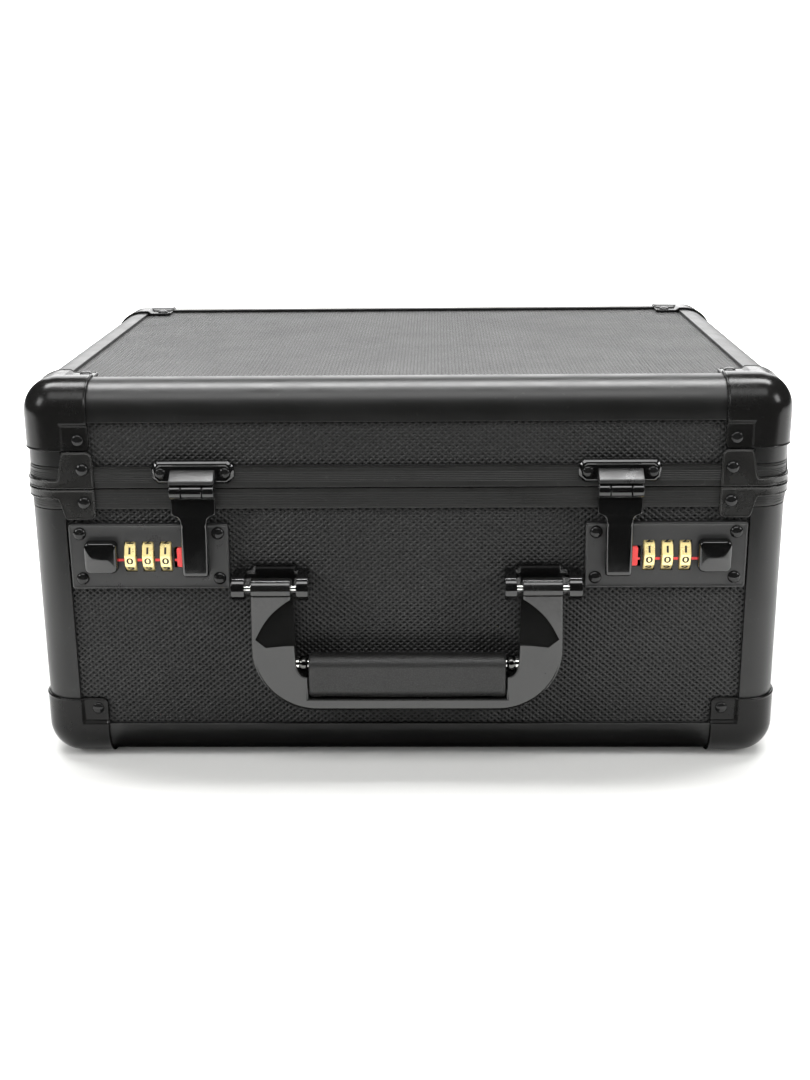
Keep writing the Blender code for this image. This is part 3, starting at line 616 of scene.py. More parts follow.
def rail(name, body, start, end, to_a, to_b):
    """A straight edge rail. Start and end are on the sharp edge, and to_a and to_b point into the case."""
    section = rail_section()
    to_a, to_b = Vector(to_a), Vector(to_b)
    shape = Shape()
    shape.loft([[Vector(point) + to_a * a + to_b * b for a, b in section] for point in (start, end)])
    dress(solid(name, shape, [ANODISED]), body, [f"{body}_rail_frame"], 30)


def rails():
    """Four long rails and four posts on each half. Their ends hide under the corner caps."""
    hidden = 21.0
    halves = (
        ("base", SHELL_LOW.z, 1, span("base_rail_frame")[1].z),
        ("lid", SHELL_HIGH.z, -1, span("lid_rail_frame")[0].z),
    )
    for body, level, up, post_end in halves:
        for wall, y, way in (("front", FRONT, 1), ("back", BACK, -1)):
            ends = [(x, y, level) for x in (hidden - HALF_X, HALF_X - hidden)]
            rail(f"{body}_rail_{wall}", body, *ends, (0, way, 0), (0, 0, up))
        for wall, x in (("left", -HALF_X), ("right", HALF_X)):
            ends = [(x, y, level) for y in (FRONT + hidden, BACK - hidden)]
            rail(f"{body}_rail_{wall}", body, *ends, (-math.copysign(1, x), 0, 0), (0, 0, up))
        for corner, sx, sy in CORNERS:
            x, y = sx * HALF_X, CENTRE_Y + sy * HALF_Y
            ends = [(x, y, level + up * hidden), (x, y, post_end)]
            rail(f"{body}_post_{corner}", body, *ends, (-sx, 0, 0), (0, -sy, 0))


def grooved_face(low, high, grooves):
    """(depth, height) points up a rail's face, with rounded lips and V grooves of (height, width, depth)."""
    lip = 0.35
    points = [(lip, low), (0.1, low + 0.1), (0, low + lip)]
    for at, width, depth in grooves:
        points += [(0, at - width / 2), (depth, at), (0, at + width / 2)]
    return points + [(0, high - lip), (0.1, high - 0.1), (lip, high)]


def meeting_rail(name, body, section):
    """A closed rail carried round the case's rounded outline."""
    r, steps = RAIL_RADIUS, 14
    loops = []
    for cx, cy, start in ((1, 1, 0), (-1, 1, 90), (-1, -1, 180), (1, -1, 270)):
        centre = Vector((cx * (HALF_X - r), CENTRE_Y + cy * (HALF_Y - r), 0))
        for step in range(steps + 1):
            angle = math.radians(start + 90 * step / steps)
            out = Vector((math.cos(angle), math.sin(angle), 0))
            loops.append([centre + out * (r - depth) + Vector((0, 0, z)) for depth, z in section])
    shape = Shape()
    shape.loft(loops, ring=True)
    dress(solid(name + "_grooved", shape, [GROOVED]), body, [name], 30)


def meeting_rails():
    near, far = FLANGE
    low, high = BASE_RING[0].z, SEAM - 0.2
    tongue_top, web = BASE_RING[1].z, high - 1.3
    fine = [(low + 1.6 + 1.15 * k, 0.4, 0.12) for k in range(6)]
    meeting_rail("base_meeting_rail", "base", grooved_face(low, high, fine) + [
        (4.5, high), (4.5, tongue_top), (5.7, tongue_top), (5.7, high), (far, high), (far, low),
        (near, low), (near, web), (RAIL_WALL, web), (RAIL_WALL, low),
    ])
    low, high = SEAM + 0.2, LID_RING[1].z
    fine = [(low + 3.0 + 0.85 * k, 0.4, 0.15) for k in range(6)] + [(high - 1.1, 0.5, 0.25)]
    web_low, web_high = tongue_top + 0.6, tongue_top + 1.9
    meeting_rail("lid_meeting_rail", "lid", grooved_face(low, high, fine) + [
        (RAIL_WALL, high), (RAIL_WALL, web_high), (near, web_high), (near, high), (far, high), (far, low),
        (near, low), (near, web_low), (RAIL_WALL, web_low), (RAIL_WALL, low),
    ])


# ---------------------------------------------------------------- corner hardware

def add_rivet(shape, point, direction, radius=3.0, height=1.9, finish=1):
    shape.turned(dome(radius, height), point, direction, finish)


def at_corner(sx, sy, level, up):
    """Takes inward coordinates at one corner of the case to the row frame."""
    move = Matrix.Translation((sx * HALF_X, CENTRE_Y + sy * HALF_Y, level))
    return move @ Matrix.Diagonal((-sx, -sy, up, 1))


def on_cap(axis, u, v, lift):
    """A point over the rounded corner, from its place on one face of the sharp corner."""
    sharp = Vector((u, v, 0))
    if axis == 0:
        sharp = Vector((0, u, v))
    if axis == 1:
        sharp = Vector((v, 0, u))
    centre = Vector([max(value, RAIL_RADIUS) for value in sharp])
    return centre + (sharp - centre).normalized() * (RAIL_RADIUS + lift)


def corner_cap_shape():
    """A pressed cap over three rails: a rounded shell, a rolled lip, and a lower pad for each rivet."""
    ledge, slope, corner, rivet_in = 17.7, 2.3, 3.0, 26.0
    start = CAP_REACH - corner
    steps = [RAIL_RADIUS * (1 - math.tan(math.radians(45 - 4.5 * k))) for k in range(10)]
    steps += [RAIL_RADIUS, 16.6, *(ledge + rise for rise in (0, 0.4, 0.9, 1.4, 1.9, slope)), 21.5, 25.0]
    steps += [start + corner * share for share in (0, 0.25, 0.5, 0.64, 0.74, 0.82, 0.9, 0.96, 1.0)]

    def lifts(u, v):
        edge = CAP_REACH - max(u, v)
        pad = smoothstep((min(u, v) - ledge) / slope)
        lip = smoothstep((1.15 - edge) / 0.5)
        rounding = 0.55 * max(0.0, 1 - edge / 0.45) ** 2
        low_pad = smoothstep((min(u, v) - ledge + 1.0) / slope)
        outer = (CAP_PROUD - 0.25) * (1 - pad) - 0.3 * pad + 0.25 * lip - rounding
        return outer, 0.3 * (1 - low_pad) - 1.5 * low_pad

    def spread(u, v):
        if u <= start or v <= start:
            return u, v
        a, b = (u - start) / corner, (v - start) / corner
        return start + corner * a * math.sqrt(1 - b * b / 2), start + corner * b * math.sqrt(1 - a * a / 2)

    shape = Shape()
    for axis in range(3):
        grids = ([], [])
        for u in steps:
            for level, grid in enumerate(grids):
                grid.append([on_cap(axis, *spread(u, v), lifts(u, v)[level]) for v in steps])
        shape.sheets(*grids, walls=("u1", "v1"))
        point, out = Vector((rivet_in,) * 3), Vector((0, 0, 0))
        point[axis], out[axis] = 0.3, -1
        add_rivet(shape, point, out, 2.8, 1.4)
    return shape


def on_corner_band(s, z, lift):
    """A point on the case's upright corner: s runs round it from its middle, the front face first."""
    r = RAIL_RADIUS
    half_arc = r * math.pi / 4
    if s < -half_arc:
        return Vector((r - half_arc - s, -lift, z))
    if s > half_arc:
        return Vector((-lift, r - half_arc + s, z))
    angle = (s + half_arc) / r
    return Vector((r - math.sin(angle) * (r + lift), r - math.cos(angle) * (r + lift), z))


def bracket_shape(seam, arm, tab, rivet_z):
    """A corner bracket: a band along the seam edge that widens into a round-cornered tab on each face."""
    way = 1 if tab > seam else -1
    corner, bend = 3.0, (11.9, 15.6)
    end = CAP_REACH + 1.4 - RAIL_RADIUS + RAIL_RADIUS * math.pi / 4
    columns = [(end - corner + u, tab - way * (corner - v)) for u, v in arc((0, 0), corner, 0, 90, 7)]
    columns += [(s, tab) for s in (23.5, 20.5, 17.5)]
    for k in range(9):
        share = k / 8
        columns.append((bend[1] + (bend[0] - bend[1]) * share, tab + (arm - tab) * smoothstep(share)))
    columns += [(s, arm) for s in (10.0, 7.5, 5.0, 2.5)]
    columns = [(-s, z) for s, z in columns] + [(0, arm)] + [(s, z) for s, z in reversed(columns)]
    outline = [(s, seam) for s, _ in columns] + [(s, z) for s, z in reversed(columns)]
    if way < 0:
        outline.reverse()
    levels = (
        (0.3, 0), (0.9, 0), (1.12, 0.08), (1.25, 0.22), (1.3, 0.42), (1.28, 0.62), (1.15, 0.85), (1.08, 1.1),
    )
    shape = Shape()
    loops = [[on_corner_band(s, z, lift) for s, z in inset(outline, by)] for lift, by in levels]
    shape.loft(loops, ladder=True)
    rivet_in, face = 27.4, -1.05
    add_rivet(shape, (rivet_in, face, rivet_z), FORWARD)
    add_rivet(shape, (face, rivet_in, rivet_z), (-1, 0, 0))
    return shape


def corner_hardware():
    cap = corner_cap_shape()
    brackets = {
        "base": bracket_shape(SEAM - 0.2, 131.7, 122.0, 130.0),
        "lid": bracket_shape(SEAM + 0.2, 140.6, 153.9, 145.7),
    }
    for body, level, up in (("base", SHELL_LOW.z, 1), ("lid", SHELL_HIGH.z, -1)):
        for corner, sx, sy in CORNERS:
            pieces = (
                ("cap", cap, at_corner(sx, sy, level, up), ENAMEL),
                ("bracket", brackets[body], at_corner(sx, sy, 0, 1), BRACKET_ENAMEL),
            )
            for kind, shape, place, finish in pieces:
                placed = Shape()
                placed.merge(shape, place)
                node = f"{body}_corner_{kind}_{corner}"
                piece = solid(node + "_pressed", placed, [finish, RIVET_STEEL])
                dress(piece, body, [node], 40)


# ---------------------------------------------------------------- latches

PLATE_DEPTH = -1.2
INDEX_Z = LOCK_Z - 1.6
KNUCKLE_Y = -5.6
KNUCKLE_RADIUS = 3.6


def between(side, x0, x1):
    """A pair of distances from the middle, in rising order on the side that they are on."""
    return sorted((side * x0, side * x1))


def lock_plate(name, side):
    """A stamped plate with a soft raised rim, a window for each dial, and four rivets."""
    node = f"lock_plate_{name}"
    low, high = span(node)
    shape = Shape()
    shape.cushion((low.x, low.z), (high.x, high.z), 1.4, (
        (0.0, 1.3), (1.5, 1.2), (1.5, 0), (-0.5, 0), (-0.85, 0.1), (-1.08, 0.3), (PLATE_DEPTH, 0.6),
        (PLATE_DEPTH, 0.9), (-1.1, 1.15), (-1.0, 1.5), (-1.0, 4.0),
    ))
    cuts = Shape()
    for number in (1, 2, 3):
        dial_low, dial_high = span(f"dial_{name}_{number}")
        corners = (dial_low.x - 0.35, LOCK_Z - 7.3), (dial_high.x + 0.35, LOCK_Z + 7.3)
        cuts.stack(rounded_rectangle(*corners, 0.6, 3), ((-4, 0), (4, 0)))
    button, tab, hasp_lug = (136.2, 146.8, -3.4, 3.4), (102.6, 107.8, -5.3, 4.7), (92.6, 101.4, -5, 2)
    for x0, x1, z0, z1 in (button, tab, hasp_lug):
        ends = between(side, x0, x1)
        opening = rounded_rectangle((ends[0], LOCK_Z + z0), (ends[1], LOCK_Z + z1), 0.5, 3)
        cuts.stack(opening, ((-4, 0), (4, 0)))
    plate = combine(solid(node + "_stamped", shape, [LOCK_SATIN, RIVET_STEEL]),
                    [solid("cutter", cuts, [LOCK_SATIN])])
    heads = Shape()
    for x in (87.0, 151.0):
        for z in (93.4, 115.2):
            add_rivet(heads, (side * x, FRONT - 1.0, z), FORWARD, finish=0)
    dress(plate, "base", [node])
    dress(solid(f"lock_rivets_{name}", heads, [RIVET_STEEL]), "base")


def red_strip(shape, ends, levels):
    """A length of the index line, between two places along the case."""
    shape.stack(rounded_rectangle((ends[0], INDEX_Z - 0.6), (ends[1], INDEX_Z + 0.6), 0.25, 2), levels)


def index_line(name, side):
    """The red line that the digits are read along, in short lengths between the wheels."""
    edges = [134.2]
    for number in (1, 2, 3):
        low, high = span(f"dial_right_{number}")
        edges += [high.x + 0.5, low.x - 0.5]
    shape = Shape()
    for high, low in zip(edges[0::2], edges[1::2]):
        red_strip(shape, between(side, low, high), ((-0.9, 0), (-1.06, 0), (-1.12, 0.08)))
    dress(solid(f"index_line_{name}", shape, [RED]), "base")


def dial(name, number):
    """A number wheel: ten flats with chamfered edges, and a digit standing on each."""
    node = f"dial_{name}_{number}"
    low, high = span(node)
    middle = (low + high) / 2
    radius, half = (high.z - low.z) / 2, (high.x - low.x) / 2
    step, tilt = 36, -11.7

    def wheel_loop(size, x):
        angles = [math.radians(step * k + step / 2 + tilt) for k in range(10)]
        return [middle + Vector((x, -size * math.cos(a), size * math.sin(a))) for a in angles]

    shape = Shape()
    hub, edge = radius * 0.62, 0.35
    sections = [(hub, half - 0.9), (hub, half), (radius - edge, half), (radius, half - edge)]
    sections = [(size, -x) for size, x in sections] + sections[::-1]
    shape.loft([wheel_loop(size, x) for size, x in sections])
    bore = solid("cutter", tube(1.8, 2 * (half + 1), middle), [BRASS])
    wheel = combine(solid(node + "_wheel", shape, [BRASS]), [bore])
    dress(wheel, node, [node], 20, even=False)
    apothem = radius * math.cos(math.radians(step / 2))
    stand = Matrix.Translation((0, -(apothem + 0.01) * MM, 0)) @ Matrix.Rotation(math.pi / 2, 4, "X")
    widened = Matrix.Diagonal((1.5, 1, 1, 1))
    digits = []
    for value in range(10):
        curve = bpy.data.curves.new("digit", "FONT")
        curve.body = str(value)
        curve.size = 4.4 * MM
        curve.offset = 0.1 * MM
        curve.resolution_u = 8
        curve.extrude = 0.03 * MM
        curve.align_x = curve.align_y = "CENTER"
        digit = bpy.data.objects.new("digit", curve)
        bpy.context.scene.collection.objects.link(digit)
        turn = Matrix.Rotation(math.radians(-(step * value + tilt)), 4, "X")
        digit.matrix_world = Matrix.Translation(middle * MM) @ turn @ stand @ widened
        digits.append(digit)
    bpy.context.view_layer.update()
    graph = bpy.context.evaluated_depsgraph_get()
    gathered = bmesh.new()
    for digit in digits:
        mesh = bpy.data.meshes.new_from_object(digit.evaluated_get(graph))
        mesh.transform(digit.matrix_world)
        gathered.from_mesh(mesh)
        bpy.data.meshes.remove(mesh)
        bpy.data.objects.remove(digit)
    bmesh.ops.remove_doubles(gathered, verts=gathered.verts, dist=1e-7)
    mesh = bpy.data.meshes.new(node + "_digits")
    gathered.to_mesh(mesh)
    gathered.free()
    dress(link_mesh(node + "_digits", mesh, INK), node, even=False)


def slide_button(name, side):
    """A glossy cushion of a button on its neck."""
    node = f"slide_button_{name}"
    low, high = span(node)
    front = low.y - FRONT
    shape = Shape()
    loops = []
    for depth, by, radius in (
        (-1.5, 0.9, 1.7), (-1.5, 0.1, 2.5), (-1.9, 0, 2.6), (-4.4, 0.15, 2.6), (front + 1.6, 0.35, 2.6),
        (front + 1.15, 0.65, 2.5), (front + 0.88, 1.15, 2.6), (front + 0.7, 1.9, 3.0),
        (front + 0.5, 3.0, 3.6), (front + 0.28, 4.3, 3.2), (front + 0.1, 5.8, 1.8), (front, 7.2, 0.4),
    ):
        outline = rounded_rectangle((low.x + by, low.z + by), (high.x - by, high.z - by), radius, 8)
        loops.append([on_front(point, depth) for point in outline])
    shape.loft(loops)
    x = (low.x + high.x) / 2 - side * 2.2
    neck, keeper = (2.4, 3.0, -2.0, 0.8), (3.4, 5.4, 0.2, high.y - FRONT)
    for half_x, half_z, near, far in (neck, keeper):
        block = rounded_rectangle((x - half_x, LOCK_Z - half_z), (x + half_x, LOCK_Z + half_z), 0.5, 3)
        shape.stack(block, ((far, 0), (near, 0)))
    dress(solid(node + "_cushion", shape, [GLOSS]), node, [node])


def reset_tab(name, side):
    """The red tab, with the end of the index line that moves with it."""
    node = f"reset_tab_{name}"
    low, high = span(node)
    outline = rounded_rectangle((low.x - 0.1, low.z), (high.x + 0.1, high.z), 0.9, 5)
    front = low.y - FRONT
    shape = Shape()
    rim = ((0.45, 0), (0.18, 0.1), (0.04, 0.3), (0, 0.7))
    shape.stack(outline, ((1.3, 0), *((front + depth, by) for depth, by in rim)))
    outer = high.x if side > 0 else low.x
    ends = sorted((outer - side * 0.3, outer + side * 1.15))
    red_strip(shape, ends, ((-1.04, 0), (-1.1, 0), (-1.16, 0.08)))
    dress(solid(node + "_moulded", shape, [RED]), node, [node])


def strike_plate(name):
    """A riveted octagon with a bright rim, a sloping tongue and the two outer knuckles."""
    node = f"strike_plate_{name}"
    low, high = span(node)
    x, half = (low.x + high.x) / 2, (high.x - low.x) / 2
    cut, top = 2.8, high.z
    bottom = top - 11.0
    right = [(half - cut, bottom), (half, bottom + cut), (half, top - cut), (half - cut, top)]
    outline = [(x + u, z) for u, z in right] + [(x - u, z) for u, z in reversed(right)]
    shape = Shape()
    shape.stack(outline, (
        (-0.3, 0), (-1.0, 0), (-1.25, 0.1), (-2.1, 1.05), (-2.32, 1.35), (-2.4, 1.7), (-2.36, 2.0),
        (-2.2, 2.3), (-2.2, 2.6),
    ))
    tongue = [
        (-1.0, 145.5), (-2.3, 145.6), (-2.8, 145.5), (-3.4, 145.1), (-8.3, 142.1), (-8.7, 141.6),
        (-8.8, 141.0), (-8.75, 140.3), (-5.0, 140.2), (-4.2, 140.9), (-1.0, 143.0),
    ]
    wide, edge = 10.2, 0.3
    stations = ((-wide, 0.35), (edge - wide, 0), (wide - edge, 0), (wide, 0.35))
    near, far = KNUCKLE_Y - 0.8, KNUCKLE_Y + 2.2
    leg = [(near, SEAM + 2.0), (far, SEAM + 1.5), (far, 141.2), (near, 141.2)]
    for way in (-1, 1):
        add_rivet(shape, (x + way * 14.7, FRONT - 2.2, 144.2), FORWARD, 2.6, 1.5)
    shape.drawn(tongue, [(x + at, by) for at, by in stations], 2)
    for shift in (-7.6, 7.6):
        knuckle = rod_profile(KNUCKLE_RADIUS, 5.1, 0.35)
        shape.turned(knuckle, (x + shift, FRONT + KNUCKLE_Y, SEAM), ACROSS, 0, 36)
        shape.drawn(leg, [(x + shift + at, 0) for at in (-2.35, 2.35)])
    shape.turned(rod_profile(1.3, 19.6, 0.2), (x, FRONT + KNUCKLE_Y, SEAM), ACROSS, 1)
    plate = solid(node + "_pressed", shape, [GLOSS, RIVET_STEEL, LOCK_SATIN])
    dress(plate, "lid", [node])


def hasp(name):
    """The latch flap: it hangs from its knuckle, steps forward and narrows over the lock plate."""
    node = f"hasp_{name}"
    low, high = span(node)
    x = (low.x + high.x) / 2
    wide, narrow = (high.x - low.x) / 2, 6.1
    front, foot = -8.4, low.z
    stations = [(132.7, wide - 0.3, -5.0, -3.4), (132.3, wide, -5.2, -3.2), (126.4, wide, -6.6, -4.0)]
    bend_top, bend_low = 125.6, 119.4
    for k in range(13):
        share = k / 12
        z = bend_top + (bend_low - bend_top) * share
        half = narrow + (wide - narrow) * (1 - share) ** 4
        near = -6.7 + 0.1 * share + (front + 7.4) * smoothstep((share - 0.25) / 0.5)
        back = -4.0 + 1.8 * smoothstep((share - 0.3) / 0.6)
        stations.append((z, half, near, back))
    stations += [
        (108.0, narrow, front + 0.2, -2.2), (foot + 2.4, narrow, front, -2.2),
        (foot + 1.2, narrow - 0.1, front + 0.12, -2.2), (foot + 0.5, narrow - 0.35, front + 0.5, -2.3),
        (foot + 0.12, narrow - 0.8, front + 1.1, -2.5), (foot, narrow - 1.4, front + 1.9, -3.2),
    ]
    loops = []
    for z, half, near, back in stations:
        r, edge = min(1.5, (back - near) * 0.45), 0.3
        section = [
            *arc((half - r, near + r), r, 0, -90, 5), *arc((r - half, near + r), r, 270, 180, 5),
            *arc((edge - half, back - edge), edge, 180, 90, 2),
            *arc((half - edge, back - edge), edge, 90, 0, 2),
        ]
        loops.append([Vector((x + u, FRONT + y, z)) for u, y in section])
    shape = Shape()
    shape.loft(loops)
    outer, half, bore = KNUCKLE_RADIUS, 4.7, 1.6
    ring = [(outer - 0.3, half), (outer, half - 0.3), (outer, 0.3 - half), (outer - 0.3, -half),
            (bore, -half), (bore, half)]
    y = FRONT + KNUCKLE_Y
    angles = [2 * math.pi * k / 36 for k in range(36)]
    shape.loft([
        [Vector((x + u, y + r * math.cos(a), SEAM + r * math.sin(a))) for r, u in ring] for a in angles
    ], ring=True)
    leg = [(-5.2, SEAM - 2.6), (-4.9, 131.2), (-4.0, 131.2), (-3.6, SEAM - 2.2)]
    shape.drawn(leg, [(x - 4.5, 0), (x + 4.5, 0)])
    lug = rounded_rectangle((x - 3.6, 99.6), (x + 3.6, 105.4), 0.6, 3)
    shape.stack(lug, ((-3.0, 0), (0.3, 0), (0.6, 0.3)))
    dress(solid(node + "_pressed", shape, [GLOSS]), node, [node])


def latches():
    for name, side in SIDES:
        lock_plate(name, side)
        index_line(name, side)
        for number in (1, 2, 3):
            dial(name, number)
        slide_button(name, side)
        reset_tab(name, side)
        strike_plate(name)
        hasp(name)
        housing = frame["nodes"][f"lock_housing_{name}"].data
        housing.materials.clear()
        housing.materials.append(DARK_STEEL)


# ---------------------------------------------------------------- handle

HANDLE_Y, HANDLE_Z = -9.4, 91.2
ARM_X = 62.3


def handle_outline():
    """The frame from the front, anticlockwise: round lower corners, arms and the bar under the grip."""
    low, high = span("handle_frame")
    half, r = high.x, 30.0
    right = arc((half - r, low.z + r), r, -90, 0, 22)
    right += [(half - 0.3, HANDLE_Z - 12), (half - 0.6, HANDLE_Z), (53.2, HANDLE_Z)]
    right += [(52.6, 78.0), (51.9, 62.0)]
    right += arc((46.6, 57.0), (5.1, 8.0), 0, -84, 9)
    right += [(46.2, 48.4), (46.2, 37.9)]
    return right + [(-x, z) for x, z in reversed(right)]


def scoop(side):
    """What is cut from an arm's inner side: a hollow with a bowed edge and a floor that faces upward."""
    top, outer = (52.4, 87.6), (70.2, 67.2)
    outline = [(49.0, 88.6)]
    for k in range(17):
        share = k / 16
        bow = 2.3 * math.sin(math.pi * share)
        outline.append((top[0] + (outer[0] - top[0]) * share + bow * 0.75,
                        top[1] + (outer[1] - top[1]) * share + bow * 0.66))
    outline += [(65.4, 63.2), (58.0, 64.0), (49.0, 64.4)]
    floor = [
        Vector((side * x, FRONT - 13.2 + 0.24 * (z - 63.0) + 0.12 * (70.2 - x), z)) for x, z in outline
    ]
    shape = Shape()
    shape.loft([floor, [Vector((side * x, FRONT - 18, z)) for x, z in outline]])
    return shape


def handle():
    """The moulded frame with its barrels and bores, the bright rod, and the grip round it."""
    shape = Shape()
    shape.stack(handle_outline(), (
        (-5.2, 1.1), (-5.3, 0.55), (-5.7, 0.15), (-6.2, 0), (-12.5, 0), (-13.0, 0.1), (-13.3, 0.3),
        (-13.4, 0.6), (-13.36, 0.85), (-13.2, 1.1), (-13.18, 1.4),
    ))
    frame_body = solid("handle_frame_moulded", shape, [HANDLE])
    rod_low, rod_high = span("handle_grip_rod")
    rod = (rod_low + rod_high) / 2
    cutters = [solid("cutter", scoop(side), [HANDLE]) for _, side in SIDES]
    cutters.append(solid("cutter", tube(2.9, 118, rod), [HANDLE]))
    combine(frame_body, cutters)
    barrels, bores, core = Shape(), Shape(), Shape()
    core.turned(rod_profile(2.6, rod_high.x - rod_low.x, 0.4), rod, ACROSS, 0, 32)
    for _, side in SIDES:
        pivot = side * ARM_X, FRONT + HANDLE_Y, HANDLE_Z
        barrels.turned(rod_profile(4.9, 18.4, 0.6), pivot, ACROSS, 0, 48)
        bores.merge(tube(1.8, 24, pivot))
        core.turned(rod_profile(3.6, 4.6, 1.9), (side * 48.3, rod.y, rod.z), ACROSS, 1, 32)
    combine(frame_body, [solid("barrels", barrels, [HANDLE])], "UNION")
    combine(frame_body, [solid("cutter", bores, [HANDLE])])
    dress(frame_body, "handle", ["handle_frame"], 24)
    dress(solid("grip_rod_bright", core, [CHROME, NICKEL]), "handle", ["handle_grip_rod"])
    grip(rod)


def grip(rod):
    """The padded grip: a soft block round the rod, fuller in the middle, its ends tucked in."""
    low, high = span("handle_grip")
    half = high.x
    crown = [(0, 1.6), (0.12, 0.9), (0.5, 0.35), (1.2, 0.1), (3.0, 0.12), (8, 0.28), (14, 0.2), (24, 0.06)]
    ends = [(-half + along, by) for along, by in crown]
    stations = ends + [(0, 0.0)] + [(-x, by) for x, by in reversed(ends)]
    outline = rounded_rectangle((low.y, low.z), (high.y, high.z), 5.2, 10)
    shape = Shape()
    shape.drawn(outline, stations, face=0.0)
    bore = solid("cutter", tube(2.75, 120, rod), [LEATHER])
    padding = combine(solid("handle_grip_padded", shape, [LEATHER]), [bore])
    dress(padding, "handle", ["handle_grip"])


def handle_bracket(name, side):
    """The bracket on the panel: a plate with a round-cornered tab, two ears and a bright pin."""
    node = f"handle_bracket_{name}"
    inner, outer = (45.0, 50.6), (74.2, 80.4)
    left, right, r = inner[0] + 1.6, outer[1] - 1.6, 1.6
    z_low, z_mid, z_top = HANDLE_Z - 6.2, HANDLE_Z + 6.2, HANDLE_Z + 8.8
    tab_left, tab_right, tab_r = 51.2, 72.4, 2.0
    outline = [
        *arc((left, z_low + r), r, 180, 270, 4), *arc((right, z_low + r), r, 270, 360, 4),
        *arc((right, z_mid - r), r, 0, 90, 4), (tab_right, z_mid),
        *arc((tab_right - tab_r, z_top - tab_r), tab_r, 0, 90, 5),
        *arc((tab_left + tab_r, z_top - tab_r), tab_r, 90, 180, 5), (tab_left, z_mid),
        *arc((left, z_mid - r), r, 90, 180, 4),
    ]
    shape = Shape()
    shape.stack(mirrored(outline, side), (
        (1.5, 0), (-0.1, 0), (-0.35, 0.1), (-0.48, 0.3), (-0.5, 0.5), (-0.42, 0.75), (-0.2, 1.0),
        (-0.2, 1.4),
    ))
    ear = [(0.5, HANDLE_Z + 6.0), *arc((HANDLE_Y + 1.0, HANDLE_Z), 6.0, 90, 270, 22), (0.5, HANDLE_Z - 6.0)]
    edge = ((0.05, 0.5), (0.2, 0.15), (0.55, 0))
    for low, high in (inner, outer):
        stations = [(low + at, by) for at, by in edge] + [(high - at, by) for at, by in reversed(edge)]
        shape.drawn(ear, [(side * x, by) for x, by in stations])
    pin_low, pin_high = 45.5, 80.0
    centre = (side * (pin_low + pin_high) / 2, FRONT + HANDLE_Y, HANDLE_Z)
    shape.turned(rod_profile(1.5, pin_high - pin_low, 0.4), centre, ACROSS, 1, 24)
    dress(solid(node + "_pressed", shape, [GLOSS, CHROME]), "base", [node])


# ---------------------------------------------------------------- hinges

def hinge_leaf(body, name, up):
    """One leaf of a back hinge, with its knuckles. The base's leaf has the pin."""
    node = f"{body}_hinge_leaf_{name}"
    low, high = span(node)
    lid_low, lid_high = span(f"lid_hinge_leaf_{name}")
    x = (lid_low.x + lid_high.x) / 2
    axis, radius = BACK + 4.0, 3.4
    start = SEAM + up * (radius + 0.8)
    z_low, z_high = sorted((start, start + up * 16.0))
    outline = rounded_rectangle((x - 17.3, z_low), (x + 17.3, z_high), 2.2, 6)

    def on_back(point, depth):
        return Vector((point[0], BACK + depth, point[1]))

    shape = Shape()
    levels = ((0.3, 0), (1.2, 0), (1.5, 0.1), (1.65, 0.3), (1.7, 0.6), (1.6, 0.9), (1.5, 1.2))
    shape.stack(outline, levels, 0, on_back)
    for shift in (-11, 11):
        add_rivet(shape, (x + shift, BACK + 1.5, SEAM + up * 14.5), (0, 1, 0))
    root, tip = SEAM + up * 1.9, SEAM + up * 6.0
    web = [(0.5, root), (2.0, root), (1.6, tip), (0.5, tip)]
    knuckles = [(0, 10.6)] if up > 0 else [(-11.3, 11.4), (11.3, 11.4)]
    for shift, width in knuckles:
        shape.turned(rod_profile(radius, width, 0.4), (x + shift, axis, SEAM), ACROSS, 0, 36)
        half = width / 2 - 0.2
        shape.drawn(web, [(x + shift + at, 0) for at in (-half, half)], face=BACK)
    if up < 0:
        shape.turned(rod_profile(1.3, high.x - low.x, 0.3), (x, axis, SEAM), ACROSS, 1)
    dress(solid(node + "_pressed", shape, [GLOSS, RIVET_STEEL]), body, [node])


# ---------------------------------------------------------------- foam

def foam_outline(low, high):
    return rounded_rectangle((low.x, low.y), (high.x, high.y), 8.0, 8)


def level(point, height):
    return Vector((point[0], point[1], height))


def foam_base_pad():
    low, high = span("foam_base_pad")
    shape = Shape()
    edge = 0.8
    levels = ((low.z, edge), (low.z + edge, 0), (high.z - edge, 0), (high.z, edge))
    shape.stack(foam_outline(low, high), levels, 0, level)
    pad = solid("foam_base_soft", shape, [FOAM])
    dress(pad, "base", ["foam_base_pad"])


def foam_cutouts():
    """The cut-out layer: round-cornered bays with flared rims, and room for the lock housings."""
    low, high = span("foam_cutout_layer")
    top = high.z
    shape = Shape()
    edges = ((low.z, 0), (top - 2.2, 0), (top - 0.9, 0.3), (top - 0.25, 1.0), (top, 2.0))
    shape.stack(foam_outline(low, high), edges, 0, level)
    layer = solid("foam_cutout_soft", shape, [FOAM])
    flare = ((low.z - 5, 0), (top - 1.8, 0), (top - 0.7, -0.3), (top - 0.1, -1.0), (top + 0.6, -2.0))
    cuts = []
    for opening in frame["record"]["physics"]["openings"]:
        if not opening["name"].endswith("_bay"):
            continue
        (x0, y0, _), (x1, y1, _) = [[value / MM for value in corner] for corner in opening["box_m"]]
        bay = Shape()
        bay.stack(rounded_rectangle((x0 - 1, y0 - 1), (x1 + 1, y1 + 1), 10.0, 8), flare, 0, level)
        cuts.append(bay)
    for _, side in SIDES:
        x0, x1 = between(side, 87.0, 151.0)
        cuts.append(box_shape((x0, FRONT + 4, 89.5), (x1, FRONT + 15.5, top + 4)))
    combine(layer, [solid("cutter", cut, [FOAM]) for cut in cuts])
    dress(layer, "base", ["foam_cutout_layer"], 40)


